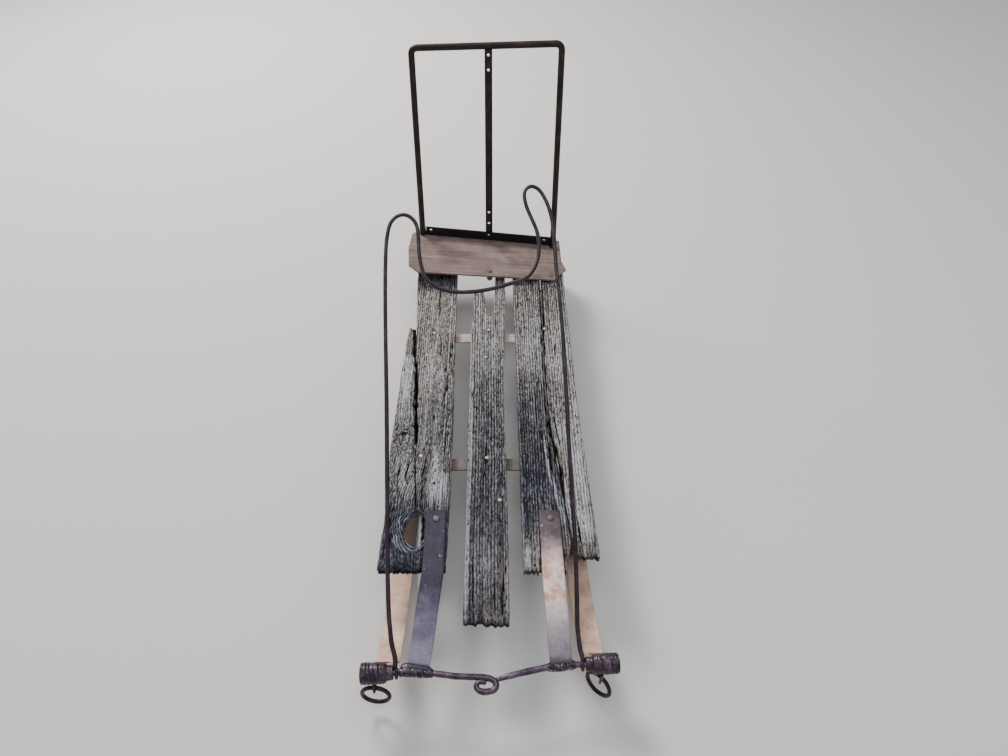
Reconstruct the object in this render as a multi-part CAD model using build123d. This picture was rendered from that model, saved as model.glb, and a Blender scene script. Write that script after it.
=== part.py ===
from build123d import *
import math
import os

# Old home-made sled: three weathered boards on iron crossbars and flat-iron runners,
# a round front bar with coil ends and rings, a long bent hand rod hinged on that bar,
# and a leaning back frame on a rear plate.
#
# Places below are measured as (x, d, z): x to the viewer's right, d backwards from the
# viewer's foot, z up from the boards' top face. put() turns them into the part's frame:
# the front faces -Y, +Z is up and z = 0 is the floor under the runners.

os.makedirs("parts", exist_ok=True)

# ---------------------------------------------------------------- driving sizes, mm
DECK_H = 142.0          # top of the boards above the floor
X_MID = 0.122            # x of the part's centre line
D_MID = 1071.26        # d of the part's origin
BOARD_T = 24.0          # boards
RUN_W = 44.0            # runner iron, width
RUN_T = 6.0             # runner iron, thickness
RUN_R = 630.0           # radius of the runner's upsweep
RUN_D = 758.0           # where the upsweep leaves the floor
RUN_END = 1700.0        # rear end of the runners
STRAP_W = 38.0
STRAP_EYE_T = 2.8       # hammered thin where it is rolled round the bar
STRAP_T = 5.0
CROSS_W = 30.0
CROSS_T = 5.0
BAR_R = 6.0             # front bar
BAR_Z = -46.0           # its centre
COIL_R = 20.0
ROD_R = 4.5             # hand rod
ROD_TILT = 24.0         # degrees above the floor
FRAME_R = 8.6           # back frame rod
LEAN = 16.0             # back frame, degrees back from upright
PLATE_T = 5.0
GAP = 0.3               # between curved faces of neighbours


def put(x, d, z=0.0):
    return (x - X_MID, d - D_MID, z + DECK_H)


def save(shape, node):
    export_step(shape, "parts/" + node + ".step")


def group(*shapes):
    return Compound(children=list(shapes))


# line of the front bar through both of its ends: also the hinge of the hand rod
AXIS_A = Vector(*put(-174.0, 402.0, BAR_Z))
AXIS_B = Vector(*put(173.0, 416.0, BAR_Z))
AXIS = (AXIS_B - AXIS_A).normalized()
YAW = math.degrees(math.atan2(AXIS.Y, AXIS.X))


def on_bar(x):
    return AXIS_A + AXIS * ((x - X_MID - AXIS_A.X) / AXIS.X)


def bar_frame(x):
    """Plane at x on the bar: its x along the bar, y backwards, z up."""
    return Plane(origin=on_bar(x), x_dir=AXIS, z_dir=(0, 0, 1))


# ---------------------------------------------------------------- boards
def board(outline, z_top=0.0, thick=BOARD_T):
    pts = [put(x, d, z_top - thick) for x, d in outline]
    face = make_face(Polyline(*pts, close=True))
    return extrude(face, amount=thick, dir=(0, 0, 1))


# outlines, columns: x, d
LEFT_BOARD = [
    (-89, 583), (-226, 582), (-223, 700), (-229, 900), (-226, 1000), (-222, 1174), (-198, 1172),
    (-193, 1150), (-178, 985), (-172, 880), (-163, 770), (-161, 700),
    (-158, 700), (-158, 770), (-166, 880), (-171, 985), (-186, 1150), (-196, 1265),
    (-207, 1450), (-213, 1655), (-94, 1655), (-93, 1380), (-85, 760),
]
KNOT_HOLE = [  # of the left board
    (-177, 652), (-182, 668), (-181, 689), (-174, 702), (-165, 712), (-153, 716), (-139, 710),
    (-132, 694), (-131, 672), (-134, 648), (-143, 638), (-153, 634), (-167, 640),
]
CENTRE_BOARD = [
    (-52, 475), (38, 476), (37, 860), (35, 1050), (43, 1380), (45, 1640), (18, 1640),
    (14, 1420), (10, 1350), (-2, 1326), (-12, 1345), (-20, 1432), (-44, 1434), (-50, 1240), (-52, 980),
]
RIGHT_INNER = [
    (67, 577), (150, 584), (163, 640), (155, 739), (144, 837), (135, 962), (135, 1127),
    (142, 1380), (146, 1655), (65, 1655),
]
RIGHT_OUTER = [
    (176, 606), (224, 611), (219, 739), (216, 860), (212, 997), (212, 1655), (149, 1655),
    (145, 1380), (138, 1127), (139, 962), (149, 837), (160, 739), (168, 665),
]
SPLINTER = [(-222, 1170), (-222, 1230), (-218, 1288), (-203, 1290), (-200, 1220), (-199, 1172)]

bolt_hole_r = 4.3
STRAP_BOLTS = [(-113.0, 693.0), (126.0, 695.0)]     # x, d
PLATE_BOLTS = [(-1.0, 1480.0), (174.5, 1477.0)]


def drill(shape, x, d, r=bolt_hole_r, z0=-200.0, z1=200.0):
    tool = extrude(Plane(origin=put(x, d, z0)) * Circle(r), amount=z1 - z0, dir=(0, 0, 1))
    return shape - tool


left_board = board(LEFT_BOARD) - board(KNOT_HOLE, 5, BOARD_T + 10)
left_board = left_board + board(SPLINTER, -12, 12)
left_board = drill(left_board, *STRAP_BOLTS[0])
save(left_board, "left_board")
save(board(CENTRE_BOARD), "centre_board")
save(drill(board(RIGHT_INNER), *STRAP_BOLTS[1]), "right_board_inner")
save(drill(board(RIGHT_OUTER), *PLATE_BOLTS[1]), "right_board_outer")

# ---------------------------------------------------------------- runners
# side line of a runner, in (d, z) from the floor up, then pushed out along x
# columns: side, x of the middle, d where the upsweep begins to level off, d where the full
# width ends just behind the coil, slope there in degrees, tongue's x from and to
RUNNERS = [
    ("left_runner", -191.0, 471.8, 421.8, 10.0, -188.8, -180.2),
    ("right_runner", 191.5, 478.0, 438.0, 18.0, 179.5, 188.5),
]


def side_line(d_turn, d_stop, slope, lift):
    """Points of the runner's under face, raised square to it by lift: floor, upsweep, level end."""
    a = math.asin((RUN_D - d_turn) / RUN_R)
    b = math.radians(slope)
    r2 = (d_turn - d_stop) / (math.sin(a) - math.sin(b))
    z_turn = RUN_R * (1 - math.cos(a))
    first = [(RUN_D - (RUN_R - lift) * math.sin(t), RUN_R - (RUN_R - lift) * math.cos(t)) for t in (0.0, a / 2, a)]
    centre = (d_turn - r2 * math.sin(a), z_turn - r2 * math.cos(a))
    second = [(centre[0] + (r2 + lift) * math.sin(t), centre[1] + (r2 + lift) * math.cos(t)) for t in ((a + b) / 2, b)]
    return first + second


def side_strip(d_turn, d_stop, slope, x0, x1):
    """Runner iron between x0 and x1, from the rear end to the depth d_stop."""
    out = side_line(d_turn, d_stop, slope, 0.0)
    inn = side_line(d_turn, d_stop, slope, RUN_T)

    def p(q):
        return (x0 - X_MID, q[0] - D_MID, q[1])

    low = Line(p((RUN_END, 0)), p(out[0]))
    a1 = ThreePointArc(p(out[0]), p(out[1]), p(out[2]))
    a2 = ThreePointArc(p(out[2]), p(out[3]), p(out[4]))
    tip = Line(p(out[4]), p(inn[4]))
    a3 = ThreePointArc(p(inn[4]), p(inn[3]), p(inn[2]))
    a4 = ThreePointArc(p(inn[2]), p(inn[1]), p(inn[0]))
    top = Line(p(inn[0]), p((RUN_END, RUN_T)))
    back = Line(p((RUN_END, RUN_T)), p((RUN_END, 0)))
    face = make_face([low, a1, a2, tip, a3, a4, top, back])
    return extrude(face, amount=x1 - x0, dir=(1, 0, 0))


def bar_eye(x0, x1, thick, inner=BAR_R + GAP):
    """A rolled eye on the front bar between x0 and x1."""
    plane = Plane(origin=on_bar(x0), x_dir=(0, 1, 0), z_dir=AXIS)
    ring = plane * (Circle(inner + thick) - Circle(inner))
    return extrude(ring, amount=(x1 - x0) / AXIS.X, dir=tuple(AXIS))


def runner(xc, d_turn, d_stop, slope, *tongue):
    body = side_strip(d_turn, d_stop, slope, xc - RUN_W / 2, xc + RUN_W / 2)
    c = on_bar((tongue[0] + tongue[1]) / 2)
    # tongue: the narrow end that goes on to the bar and is rolled round it
    d0, z0 = side_line(d_turn, d_stop, slope, 0.0)[4]
    d1, z1 = side_line(d_turn, d_stop, slope, RUN_T)[4]
    y_bar, z_bar = c.Y, c.Z
    quad = [(tongue[0] - X_MID, d0 - D_MID, z0), (tongue[0] - X_MID, d1 - D_MID, z1),
            (tongue[0] - X_MID, y_bar + 4, z_bar - BAR_R - 0.6), (tongue[0] - X_MID, y_bar - 1, z_bar - BAR_R - RUN_T + 0.6)]
    link = extrude(make_face(Polyline(*quad, close=True)), amount=tongue[1] - tongue[0], dir=(1, 0, 0))
    eye = bar_eye(tongue[0], tongue[1], RUN_T - 1.0)
    return (body + link + eye) - extrude(
        Plane(origin=on_bar(tongue[0] - 5), x_dir=(0, 1, 0), z_dir=AXIS) * Circle(BAR_R + GAP), amount=40)


for node, *row in RUNNERS:
    save(runner(*row), node)

# ---------------------------------------------------------------- crossbars
LEG_X = 203.0           # outer face of the legs
FOOT = 36.0


def crossbar(d):
    z_top = -BOARD_T
    z_foot = -DECK_H + RUN_T
    w = CROSS_W / 2
    t = CROSS_T
    pts = [(-LEG_X, z_top), (LEG_X, z_top), (LEG_X, z_foot + t), (LEG_X, z_foot),
           (LEG_X - FOOT, z_foot), (LEG_X - FOOT, z_foot + t), (LEG_X - t, z_foot + t), (LEG_X - t, z_top - t),
           (-LEG_X + t, z_top - t), (-LEG_X + t, z_foot + t), (-LEG_X + FOOT, z_foot + t), (-LEG_X + FOOT, z_foot),
           (-LEG_X, z_foot)]
    pts = [q for i, q in enumerate(pts) if i != 2]
    face = make_face(Polyline(*[put(x, d - w, z) for x, z in pts], close=True))
    return extrude(face, amount=CROSS_W, dir=(0, 1, 0))


for node, d in (("front_crossbar", 849.0), ("middle_crossbar", 1255.0), ("rear_crossbar", 1625.0)):
    save(crossbar(d), node)

# ---------------------------------------------------------------- straps on the boards
# side line of a strap's under face: columns d, z
STRAP_LINE = [(714.0, 0.0), (574.0, 0.0), (520.0, -9.0), (452.0, -30.0), (416.0, -37.0)]


def top_strap(x_deck, x_bar, x_eye0, x_eye1, hole):
    c = on_bar((x_eye0 + x_eye1) / 2)
    d_bar = c.Y + D_MID
    line = STRAP_LINE[:-1] + [(d_bar, BAR_Z + BAR_R + GAP)]
    w = STRAP_W / 2
    wide = 42.0 / 2
    # flat part and slope: ruled pieces between neighbouring stations, each moved sideways
    solids = None
    d_first, d_last = line[1][0], line[-1][0]

    def mid(d):
        if d >= d_first:
            return x_deck
        return x_deck + (x_bar - x_deck) * (d_first - d) / (d_first - d_last)

    def half(d):
        if d >= d_first:
            return w
        return w + (wide - w) * (d_first - d) / (d_first - d_last)

    sections = []
    for (d, z) in line:
        xm, hw = mid(d), half(d)
        t = STRAP_EYE_T if d == d_last else STRAP_T
        sections.append(make_face(Polyline(
            put(xm - hw, d, z), put(xm + hw, d, z), put(xm + hw, d, z + t), put(xm - hw, d, z + t), close=True)))
    for a, b in zip(sections, sections[1:]):
        piece = loft([a, b], ruled=True)
        solids = piece if solids is None else solids + piece
    eye = bar_eye(x_eye0, x_eye1, STRAP_EYE_T)
    return drill(solids + eye, *hole)


save(top_strap(-113.0, -130.5, -157.0, -106.0, STRAP_BOLTS[0]), "left_top_strap")
save(top_strap(125.0, 132.0, 108.0, 158.0, STRAP_BOLTS[1]), "right_top_strap")

# ---------------------------------------------------------------- front bar with its curl
# the left half runs in from its coil and ends in the flat curl, the right half butts on it
CURL_X = (-25.8, 12.2)      # centre line of the curl, left and right
CURL_D = (367.2, 394.8)     # front and back
CURL_RADII = [60.0, 60.0, 12.8, 11.4, 8.0]
CURL_SHOULDER = 378.4       # d on the curl's left where the thinner tail begins
TAIL_R = 4.2
TAIL = [(-25.8, 376.0), (-25.8, 383.6), (-9.5, 383.6)]      # x, d


def on_level(x, d):
    return Vector(*put(x, d, BAR_Z))


left_path = FilletPolyline(
    on_bar(-240), on_bar(-100), on_level(-56, CURL_D[1]), on_level(CURL_X[1], CURL_D[1]),
    on_level(CURL_X[1], CURL_D[0]), on_level(CURL_X[0], CURL_D[0]), on_level(CURL_X[0], CURL_SHOULDER),
    radius=CURL_RADII)
left_half = sweep(Plane(origin=on_bar(-240), x_dir=(0, 1, 0), z_dir=AXIS) * Circle(BAR_R), path=left_path)
shoulder = Pos(*tuple(on_level(CURL_X[0], CURL_SHOULDER))) * Sphere(BAR_R)
tail_path = FilletPolyline(*[on_level(*q) for q in TAIL], radius=6.2)
tail = sweep(Plane(origin=on_level(*TAIL[0]), z_dir=(0, 1, 0)) * Circle(TAIL_R), path=tail_path)
tail_end = Pos(*tuple(on_level(*TAIL[-1]))) * Sphere(TAIL_R)
right_path = FilletPolyline(on_bar(244), on_bar(106), on_level(62, 400.5), on_level(8.5, 391.2), radius=60)
right_half = sweep(Plane(origin=on_bar(244), x_dir=(0, 1, 0), z_dir=-AXIS) * Circle(BAR_R), path=right_path)
front_bar = left_half + shoulder + tail + tail_end + right_half
save(front_bar, "front_bar")

# ---------------------------------------------------------------- coils, ring eyes and rings
RING_R = 26.0           # centre line
RING_WIRE = 4.2
EYE_WIRE = 2.6
# columns: side, coil x from, x to, middle of the small eye x, d, z, its radius and its turn,
# the ring's forward tilt and its turn (degrees about the upright, its right end to the viewer)
COILS = [
    ("left", -240.0, -190.0, (-214.5, 381.4, -67.7), 7.6, 0.0, 10.6, 4.5),
    ("right", 190.5, 243.0, (209.7, 400.4, -71.0), 9.8, 23.0, 10.0, 46.0),
]
TURNS = 5


def coil(x0, x1):
    n = TURNS
    length = (x1 - x0) / AXIS.X
    pitch = length / n
    parts = None
    for i in range(n):
        plane = Plane(origin=on_bar(x0) + AXIS * (i * pitch), x_dir=(0, 1, 0), z_dir=AXIS)
        # one turn: a barrel with round shoulders
        prof = make_face([
            Line((BAR_R + GAP, 0), (COIL_R - 2.2, 0)),
            ThreePointArc((COIL_R - 2.2, 0), (COIL_R, pitch / 2), (COIL_R - 2.2, pitch)),
            Line((COIL_R - 2.2, pitch), (BAR_R + GAP, pitch)),
            Line((BAR_R + GAP, pitch), (BAR_R + GAP, 0)),
        ])
        turn = revolve(Plane.XZ * prof, axis=Axis.Z)
        turn = plane.location * turn
        parts = turn if parts is None else parts + turn
    return parts


def torus_at(centre, normal, major, minor):
    plane = Plane(origin=centre, z_dir=normal)
    return plane.location * Torus(major, minor)


for side, x0, x1, middle, eye_r, eye_turn, tilt, turn in COILS:
    pivot = Vector(*put(*middle))
    w = math.radians(eye_turn)
    eye = torus_at(pivot, Vector(math.cos(w), -math.sin(w), 0), eye_r, EYE_WIRE)
    save(coil(x0, x1) + eye, side + "_end_coil")
    # the ring's top wire runs through the eye's middle
    w = math.radians(turn)
    a = math.radians(tilt)
    across = Vector(math.cos(w), -math.sin(w), 0)
    forward = Vector(-math.sin(w), -math.cos(w), 0)
    down = Vector(0, 0, -1) * math.cos(a) + forward * math.sin(a)
    ring = torus_at(pivot + down * RING_R, across.cross(down), RING_R, RING_WIRE)
    save(ring, side + "_ring")
    print("ring hinge", side, pivot, across, "middle", pivot + down * RING_R)

# ---------------------------------------------------------------- hand rod
# it lies in one plane through the bar, tilted up by ROD_TILT. Columns: x, run from the bar
ROD_POINTS = [
    (-174.0, 0.0), (-187.0, 48.0), (-198.0, 190.0), (-236.0, 880.0), (-232.0, 966.0), (-166.0, 968.0),
    (-162.0, 852.0), (-142.0, 768.0), (0.0, 765.0), (84.0, 785.0), (116.0, 856.0), (80.0, 975.0),
    (82.0, 1036.0), (118.0, 1036.0), (142.0, 950.0), (150.0, 820.0), (162.0, 450.0), (169.0, 200.0),
    (165.0, 50.0), (173.0, 0.0),
]
ROD_RADII = [60.0, 300.0, 300.0, 28.0, 28.0, 60.0, 60.0, 200.0, 45.0, 45.0, 45.0, 17.0, 17.0, 60.0, 300.0, 600.0, 300.0, 60.0]
tilt = math.radians(ROD_TILT)


def rod_point(x, run):
    base = on_bar(x)
    back = Vector(0, math.cos(tilt), math.sin(tilt))
    return base + back * run


def eye_start(x):
    return rod_point(x, BAR_R + GAP + ROD_R)


pts = [rod_point(x, run) for x, run in ROD_POINTS]
pts[0] = eye_start(-174.0)
pts[-1] = eye_start(173.0)
rod_path = FilletPolyline(*pts, radius=ROD_RADII)
start_dir = (pts[1] - pts[0]).normalized()
hand_rod = sweep(Plane(origin=pts[0], z_dir=start_dir) * Circle(ROD_R), path=rod_path)
for x in (-174.0, 173.0):
    hand_rod = hand_rod + torus_at(on_bar(x), AXIS, BAR_R + GAP + ROD_R, ROD_R)
save(hand_rod, "hand_rod")

# ---------------------------------------------------------------- rear plate, angle, back frame
PLATE_SLOPE = math.degrees(math.atan(0.075))     # left end stands higher
# outline of the plate, columns: x, d
PLATE = [(-204, 1459), (-232, 1487), (-239, 1561), (-233, 1632), (-212, 1656), (204, 1637), (211, 1625), (207, 1552),
         (221, 1506), (205, 1489), (184, 1458)]
SLOPE = math.radians(PLATE_SLOPE)


def plate_z(x):
    """Under face of the plate above the boards at x."""
    return (212.0 - x) * math.tan(SLOPE)


def tilted(outline, z_low, z_high):
    """A slab on the plate's plane, z_low to z_high above its under face."""
    up = (math.sin(SLOPE), 0, math.cos(SLOPE))
    base = Plane(origin=put(212.0, 1550.0, 0.0), x_dir=(math.cos(SLOPE), 0, -math.sin(SLOPE)), z_dir=up)
    flat = [((x - 212.0) / math.cos(SLOPE), d - 1550.0, 0) for x, d in outline]
    face = base.location * Pos(0, 0, z_low) * make_face(Polyline(*flat, close=True))
    return extrude(face, amount=z_high - z_low, dir=up)


def band(x0, x1, d0, d1):
    return [(x0, d0), (x1, d0), (x1, d1), (x0, d1)]


plate = tilted(PLATE, 0.0, PLATE_T)
for x, d in PLATE_BOLTS:
    plate = drill(plate, x, d, z0=-30, z1=60)
save(plate, "rear_plate")

# the angle: upright flange between the frame's uprights, foot behind it on the plate.
# It stands skewed: its front face runs along d = FACE_D + FACE_TURN * x
ANGLE_H = 28.0
ANGLE_T = 4.0
FACE_D = 1623.9
FACE_TURN = -0.0427
ANGLE_X = (-191.6, 176.2)
# holes in the flange, columns: x, height above the plate
FLANGE_HOLES = [(-176.0, 18.5), (-4.0, 17.2), (161.0, 16.6)]
FLANGE_HOLE_R = 4.0


def face_d(x):
    return FACE_D + FACE_TURN * x


def skew_band(x0, x1, d0, d1):
    """Strip on the plate from d0 to d1 behind the flange's front face."""
    return [(x0, face_d(x0) + d0), (x1, face_d(x1) + d0), (x1, face_d(x1) + d1), (x0, face_d(x0) + d1)]


FACE_COS = 1.0 / math.sqrt(1.0 + FACE_TURN ** 2)
angle = (tilted(skew_band(*ANGLE_X, 0.0, ANGLE_T / FACE_COS), PLATE_T, PLATE_T + ANGLE_H)
         + tilted(skew_band(*ANGLE_X, ANGLE_T / FACE_COS, 20.0), PLATE_T, PLATE_T + ANGLE_T))
# unit vector through the flange, backwards
THROUGH = Vector(-FACE_TURN * math.cos(SLOPE), 1.0, FACE_TURN * math.sin(SLOPE)).normalized()


def flange_point(x, height):
    """Point on the flange's front face at x, height above the plate."""
    rise = PLATE_T + height
    return Vector(*put(x, face_d(x - rise * math.sin(SLOPE)), plate_z(x) + rise))


def flange_bore(x, height, r):
    """A boring square through the flange."""
    return extrude(Plane(origin=flange_point(x, height) - THROUGH * 5.0, z_dir=THROUGH) * Circle(r), amount=20)


for x, height in FLANGE_HOLES:
    angle = angle - flange_bore(x, height, FLANGE_HOLE_R)
    print("flange hole", flange_point(x, height), THROUGH)
save(angle, "rear_angle")

lean = math.radians(LEAN)


def lean_point(x, w):
    """A point of the frame's plane, w up along it from z = 28."""
    return Vector(*put(x, face_d(x) + w * math.sin(lean), 28.0 + w * math.cos(lean)))


W_TOP_L, W_TOP_R = 509.75, 526.2
FRAME_X = (-200.8, -204.9, 184.8, 188.4)     # foot, corner, corner, foot
frame_pts = [lean_point(FRAME_X[0], -30), lean_point(FRAME_X[1], W_TOP_L), lean_point(FRAME_X[2], W_TOP_R), lean_point(FRAME_X[3], -40)]
frame_path = FilletPolyline(*frame_pts, radius=15)
back_frame = sweep(Plane(origin=frame_pts[0], z_dir=(frame_pts[1] - frame_pts[0])) * Circle(FRAME_R), path=frame_path)
back_frame = back_frame - tilted(band(-300.0, 300.0, 1500.0, 1760.0), -90.0, PLATE_T)
save(back_frame, "back_frame")

# the flat centre strip: foot upright behind the flange, then leaning to the top rod
STRIP_T = 4.0
STRIP_X = -2.5
STRIP_D = face_d(STRIP_X) + ANGLE_T / FACE_COS + GAP + STRIP_T / 2      # centre of the foot
BEND_Z = 52.0
foot_z = plate_z(-12.5) + PLATE_T + ANGLE_T + 0.6
foot = extrude(make_face(Polyline(*[put(x, STRIP_D, z) for x, z in
                                    ((-12.5, foot_z), (7.5, foot_z), (7.5, BEND_Z), (-12.5, BEND_Z))], close=True)),
               amount=STRIP_T / 2, both=True, dir=(0, 1, 0))
upper_plane = Plane(origin=put(0, STRIP_D, BEND_Z), x_dir=(1, 0, 0), z_dir=(0, -math.cos(lean), math.sin(lean)))
UPPER_L = 490.3
upper = extrude(upper_plane.location * make_face(Polyline(
    (-12.5, 0), (7.5, 0), (0.0, UPPER_L), (-20.0, UPPER_L), close=True)), amount=STRIP_T / 2, both=True)
bend = Plane(origin=put(-12.5, STRIP_D, BEND_Z), x_dir=(0, 1, 0), z_dir=(1, 0, 0)).location * Cylinder(
    STRIP_T / 2, 20.0, align=(Align.CENTER, Align.CENTER, Align.MIN))
strip = foot + upper + bend
# holes up the strip: x, run from the bend
STRIP_HOLES = [(-3.3, 22.75), (-3.8, 55.5), (-9.4, 436.5), (-10.1, 472.0)]
for x, w in STRIP_HOLES:
    strip = strip - extrude(upper_plane.location * Pos(x, w, 0) * Circle(3.5), amount=10, both=True)
# skewed like the flange
strip = strip.rotate(Axis(put(STRIP_X, STRIP_D, 0.0), (0, 0, 1)), math.degrees(math.atan(FACE_TURN)))
top_a, top_b = lean_point(FRAME_X[1], W_TOP_L), lean_point(FRAME_X[2], W_TOP_R)
top_line = (top_b - top_a).normalized()
top_rod = Plane(origin=top_a, z_dir=top_line).location * Cylinder(
    FRAME_R + 0.1, (top_b - top_a).length, align=(Align.CENTER, Align.CENTER, Align.MIN))
strip = strip - top_rod - flange_bore(*FLANGE_HOLES[1], FLANGE_HOLE_R)
save(max(strip.solids(), key=lambda body: body.volume), "back_strip")

# ---------------------------------------------------------------- bolts
SHANK_R = 4.0


def bolt(x, d, z_under, z_nut, nut_turn=0.0, nut_side=13.0):
    """Round head on z_under, shank down to a square nut whose top is at z_nut."""
    top = Plane(origin=put(x, d, z_under))
    head = top.location * Cone(7.0, 3.6, 4.5, align=(Align.CENTER, Align.CENTER, Align.MIN))
    shank = Plane(origin=put(x, d, z_nut - 9.0)).location * Cylinder(SHANK_R, z_under - z_nut + 9.5, align=(Align.CENTER, Align.CENTER, Align.MIN))
    nut = Plane(origin=put(x, d, z_nut - 6.0)).location * Rot(0, 0, nut_turn) * Box(nut_side, nut_side, 6.0, align=(Align.CENTER, Align.CENTER, Align.MIN))
    return head + shank + nut


save(group(*[bolt(x, d, STRAP_T, -BOARD_T) for x, d in STRAP_BOLTS]), "strap_bolts")
# the middle bolt of the plate hangs in the fork of the board, its nut higher up and turned; columns: top of the nut, turn
NUTS = [(-3.0, 45.0), (-BOARD_T, 0.0)]
save(group(*[bolt(x, d, plate_z(x - 8) + PLATE_T + 0.2, *nut) for (x, d), nut in zip(PLATE_BOLTS, NUTS)]), "plate_bolts")

print("bar axis point", AXIS_A, "direction", AXIS, "yaw", YAW)
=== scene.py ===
import bpy
import bmesh
import math
import numpy as np
from mathutils import Vector, Matrix


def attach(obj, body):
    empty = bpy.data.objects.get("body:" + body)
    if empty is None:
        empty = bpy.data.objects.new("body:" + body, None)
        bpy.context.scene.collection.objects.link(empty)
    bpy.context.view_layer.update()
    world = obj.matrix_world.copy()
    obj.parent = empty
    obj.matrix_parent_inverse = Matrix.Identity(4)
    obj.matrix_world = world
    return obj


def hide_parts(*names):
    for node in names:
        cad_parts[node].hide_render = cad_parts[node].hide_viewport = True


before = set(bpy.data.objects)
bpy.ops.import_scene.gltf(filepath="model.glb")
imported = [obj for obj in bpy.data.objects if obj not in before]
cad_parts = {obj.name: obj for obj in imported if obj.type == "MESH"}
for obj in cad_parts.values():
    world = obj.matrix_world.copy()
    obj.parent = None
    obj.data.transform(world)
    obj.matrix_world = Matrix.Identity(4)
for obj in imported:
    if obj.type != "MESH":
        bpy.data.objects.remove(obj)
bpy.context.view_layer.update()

# Places are (x, d, z) in millimetres: x to the right, d backwards from the viewer's foot,
# z up from the boards' top face. P() turns them into the part's frame in metres.
X_MID, D_MID, DECK_H = 0.122, 1071.26, 142.0


def P(x, d, z=0.0):
    return Vector(((x - X_MID) / 1000.0, (d - D_MID) / 1000.0, (z + DECK_H) / 1000.0))


# ------------------------------------------------------------------ noise, all seeded
def _hash(n, seed):
    n = (n.astype(np.int64) * 374761393 + seed * 668265263) & 0xFFFFFFFF
    n = ((n ^ (n >> 13)) * 1274126177) & 0xFFFFFFFF
    n = (n ^ (n >> 16)) & 0xFFFFFFFF
    n = ((n ^ (n >> 15)) * 2246822519) & 0xFFFFFFFF
    return ((n ^ (n >> 13)) & 0xFFFFFF) / float(0xFFFFFF)


def vn1(x, seed=0):
    """Smooth value noise in one variable, 0 to 1."""
    x = np.asarray(x, float)
    i = np.floor(x)
    f = x - i
    f = f * f * (3 - 2 * f)
    return _hash(i, seed) * (1 - f) + _hash(i + 1, seed) * f


def vn2(x, y, seed=0):
    x, y = np.broadcast_arrays(np.asarray(x, float), np.asarray(y, float))
    i, j = np.floor(x), np.floor(y)
    fx, fy = x - i, y - j
    fx, fy = fx * fx * (3 - 2 * fx), fy * fy * (3 - 2 * fy)

    def h(a, b):
        return _hash(a + b * 7919, seed)
    return (h(i, j) * (1 - fx) + h(i + 1, j) * fx) * (1 - fy) + (h(i, j + 1) * (1 - fx) + h(i + 1, j + 1) * fx) * fy


def vn3(p, scale, seed=0):
    """Value noise at a point, -1 to 1."""
    x, y, z = p[0] * scale, p[1] * scale, p[2] * scale
    a = vn2(x + 31.7 * math.floor(z), y, seed)
    b = vn2(x + 31.7 * (math.floor(z) + 1), y, seed)
    f = z - math.floor(z)
    f = f * f * (3 - 2 * f)
    return float((a * (1 - f) + b * f) * 2 - 1)


def smooth(a, b, x):
    t = np.clip((np.asarray(x, float) - a) / (b - a), 0, 1)
    return t * t * (3 - 2 * t)


def table(rows, x):
    """Straight lines between rows of (key, value)."""
    r = np.array(rows, float)
    return np.interp(x, r[:, 0], r[:, 1])


# ------------------------------------------------------------------ mesh helpers
def new_object(name, verts, faces, smooth_shade=True, closed=True):
    me = bpy.data.meshes.new(name)
    me.from_pydata([tuple(v) for v in verts], [], [tuple(f) for f in faces])
    bm = bmesh.new()
    bm.from_mesh(me)
    bmesh.ops.remove_doubles(bm, verts=bm.verts, dist=1e-7)
    if closed:
        bmesh.ops.recalc_face_normals(bm, faces=bm.faces)
    for f in bm.faces:
        f.smooth = smooth_shade
    bm.to_mesh(me)
    bm.free()
    ob = bpy.data.objects.new(name, me)
    bpy.context.scene.collection.objects.link(ob)
    return ob


def spline(points, step):
    """Catmull-Rom through points, sampled about every step."""
    pts = [Vector(p) for p in points]
    pts = [pts[0] * 2 - pts[1]] + pts + [pts[-1] * 2 - pts[-2]]
    out = []
    for i in range(1, len(pts) - 2):
        p0, p1, p2, p3 = pts[i - 1], pts[i], pts[i + 1], pts[i + 2]
        n = max(1, int(math.ceil((p2 - p1).length / step)))
        for k in range(n):
            t = k / n
            out.append(0.5 * ((2 * p1) + (-p0 + p2) * t + (2 * p0 - 5 * p1 + 4 * p2 - p3) * t * t + (-p0 + 3 * p1 - 3 * p2 + p3) * t ** 3))
    out.append(pts[-2])
    return out


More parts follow.
